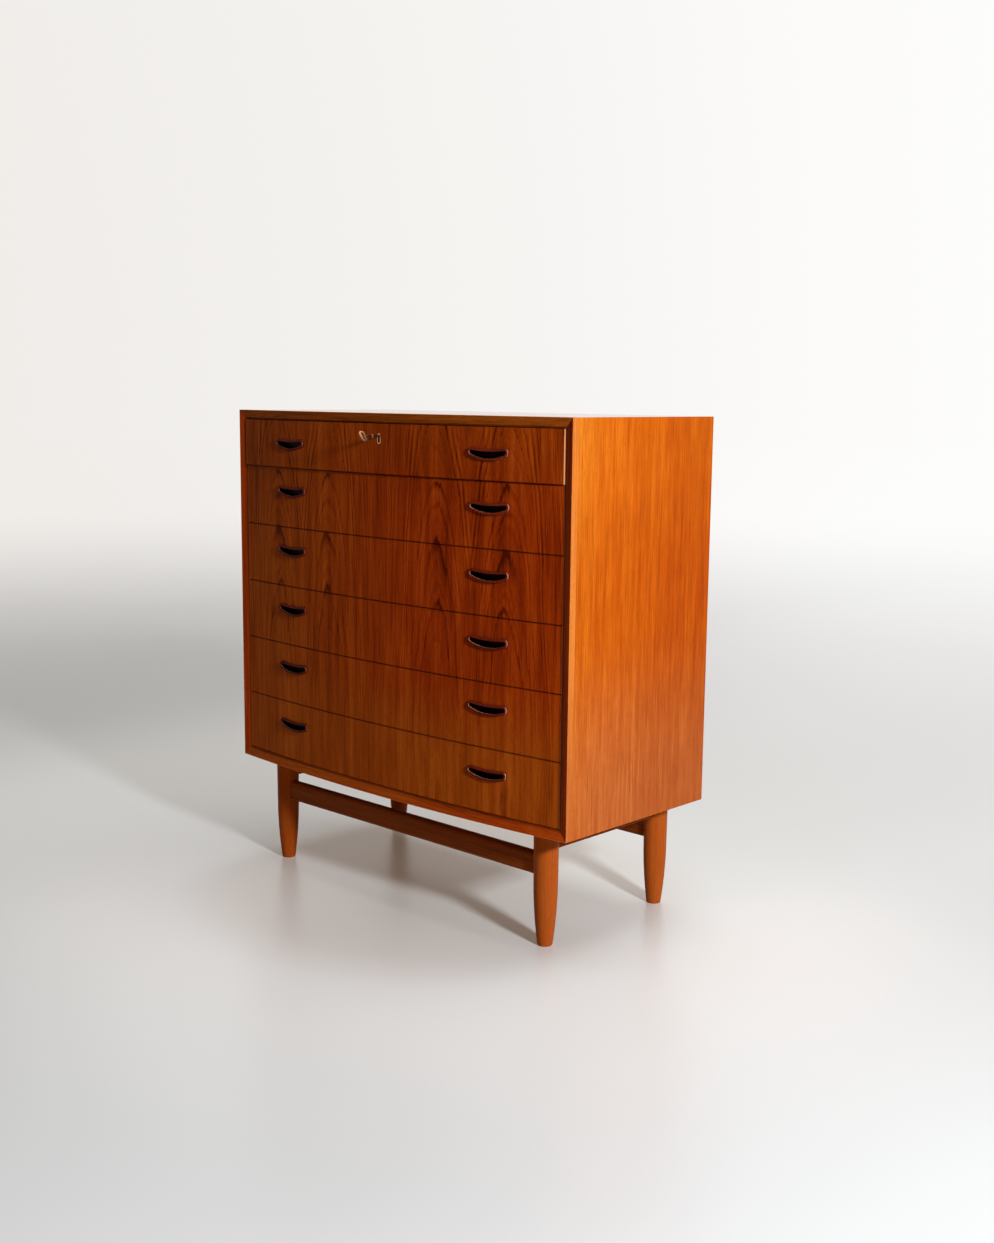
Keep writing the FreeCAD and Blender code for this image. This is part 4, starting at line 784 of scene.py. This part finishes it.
def make_floor():
    """A pale floor that turns into the backdrop far away."""
    floor = disc("floor", FLOOR_RADIUS, FLOOR_SIDES)
    s = Surface("pale_floor")
    x, y, z = s.position()
    reach = s.math("SQRT", s.add(s.times(x, x), s.times(y, y)))
    toward_x = s.math("DIVIDE", x, reach)
    direct = s.seen_directly()
    patch = s.grain_noise((x, y, z), FLOOR_PATCHES)
    pale = s.blend(s.add(patch, 0.5), *FLOOR_COLOURS)
    s.feed(s.shader.inputs["Base Color"], s.blend(direct, FLOOR_BOUNCE, pale))
    roughness = s.add(s.times(patch, FLOOR_PATCH_ROUGHNESS), FLOOR_ROUGHNESS)
    s.feed(s.shader.inputs["Roughness"], roughness)
    s.shader.inputs["Specular IOR Level"].default_value = FLOOR_SPECULAR
    lift_colour = s.blend(s.stretch(reach, *LIFT_COLOUR_SPAN), LIFT_NEAR, LIFT_OUTSIDE)
    s.feed(s.shader.inputs["Emission Color"], lift_colour)
    s.feed(s.shader.inputs["Emission Strength"], s.times(floor_lift(s, x, y, reach), direct))
    wall = s.tree.nodes.new("ShaderNodeEmission")
    s.feed(wall.inputs["Color"], wall_colour(s, toward_x))
    wall_share = s.times(floor_fade(s, toward_x, reach), direct)
    mixed = s.mix_shaders(wall_share, s.shader.outputs[0], wall.outputs[0])
    s.feed(s.tree.nodes["Material Output"].inputs["Surface"], mixed)
    floor.data.materials.append(s.material)


def make_world():
    """A plain backdrop where it is seen, and a low even light on everything else."""
    bpy.context.scene.world = bpy.data.worlds.new("studio")
    bpy.context.scene.world.use_nodes = True
    s = Sky()
    fill = s.tree.nodes["Background"]
    fill.inputs["Color"].default_value = FILL_COLOUR
    fill.inputs["Strength"].default_value = FILL_STRENGTH
    backdrop = s.tree.nodes.new("ShaderNodeBackground")
    s.feed(backdrop.inputs["Color"], wall_colour(s, s.direction_x()))
    mixed = s.mix_shaders(s.seen_directly(), fill.outputs[0], backdrop.outputs[0])
    s.feed(s.tree.nodes["World Output"].inputs["Surface"], mixed)


def soft_light(name, place, aim, size, power, colour):
    data = bpy.data.lights.new(name, "AREA")
    data.shape = "SQUARE"
    data.size = size
    data.energy = power
    data.color = colour
    item = bpy.data.objects.new(name, data)
    item.location = place
    item.rotation_euler = (Vector(aim) - Vector(place)).to_track_quat("-Z", "Y").to_euler()
    bpy.context.scene.collection.objects.link(item)


def make_lights():
    """A small lamp at the right, which throws the shadows, and a large one above."""
    soft_light("key_light", place=(3.2, -0.88, 1.75), aim=(0.0, 0.0, 0.55), size=0.35,
               power=86.0, colour=(0.96, 0.98, 1.0))
    soft_light("top_light", place=(0.0, 0.8, 3.6), aim=(0.0, 0.1, 0.0), size=3.0,
               power=58.0, colour=(1.0, 0.96, 0.90))


def make_camera():
    data = bpy.data.cameras.new("camera")
    data.sensor_width = SENSOR_MM
    data.lens = CAMERA_FOCUS_PIXELS / PICTURE_HEIGHT_PIXELS * SENSOR_MM
    data.clip_start = CAMERA_NEAR
    data.clip_end = CAMERA_FAR
    camera = bpy.data.objects.new("camera", data)
    camera.location = CAMERA_PLACE
    level = Euler((math.pi / 2 - CAMERA_DROP, 0.0, CAMERA_AZIMUTH)).to_matrix()
    camera.rotation_euler = (level @ Matrix.Rotation(CAMERA_ROLL, 3, "Z")).to_euler()
    bpy.context.scene.collection.objects.link(camera)
    bpy.context.scene.camera = camera


dress_case()
dress_drawers()
dress_metal()
make_floor()
make_world()
make_lights()
make_camera()
bpy.context.scene.view_settings.view_transform = "Standard"
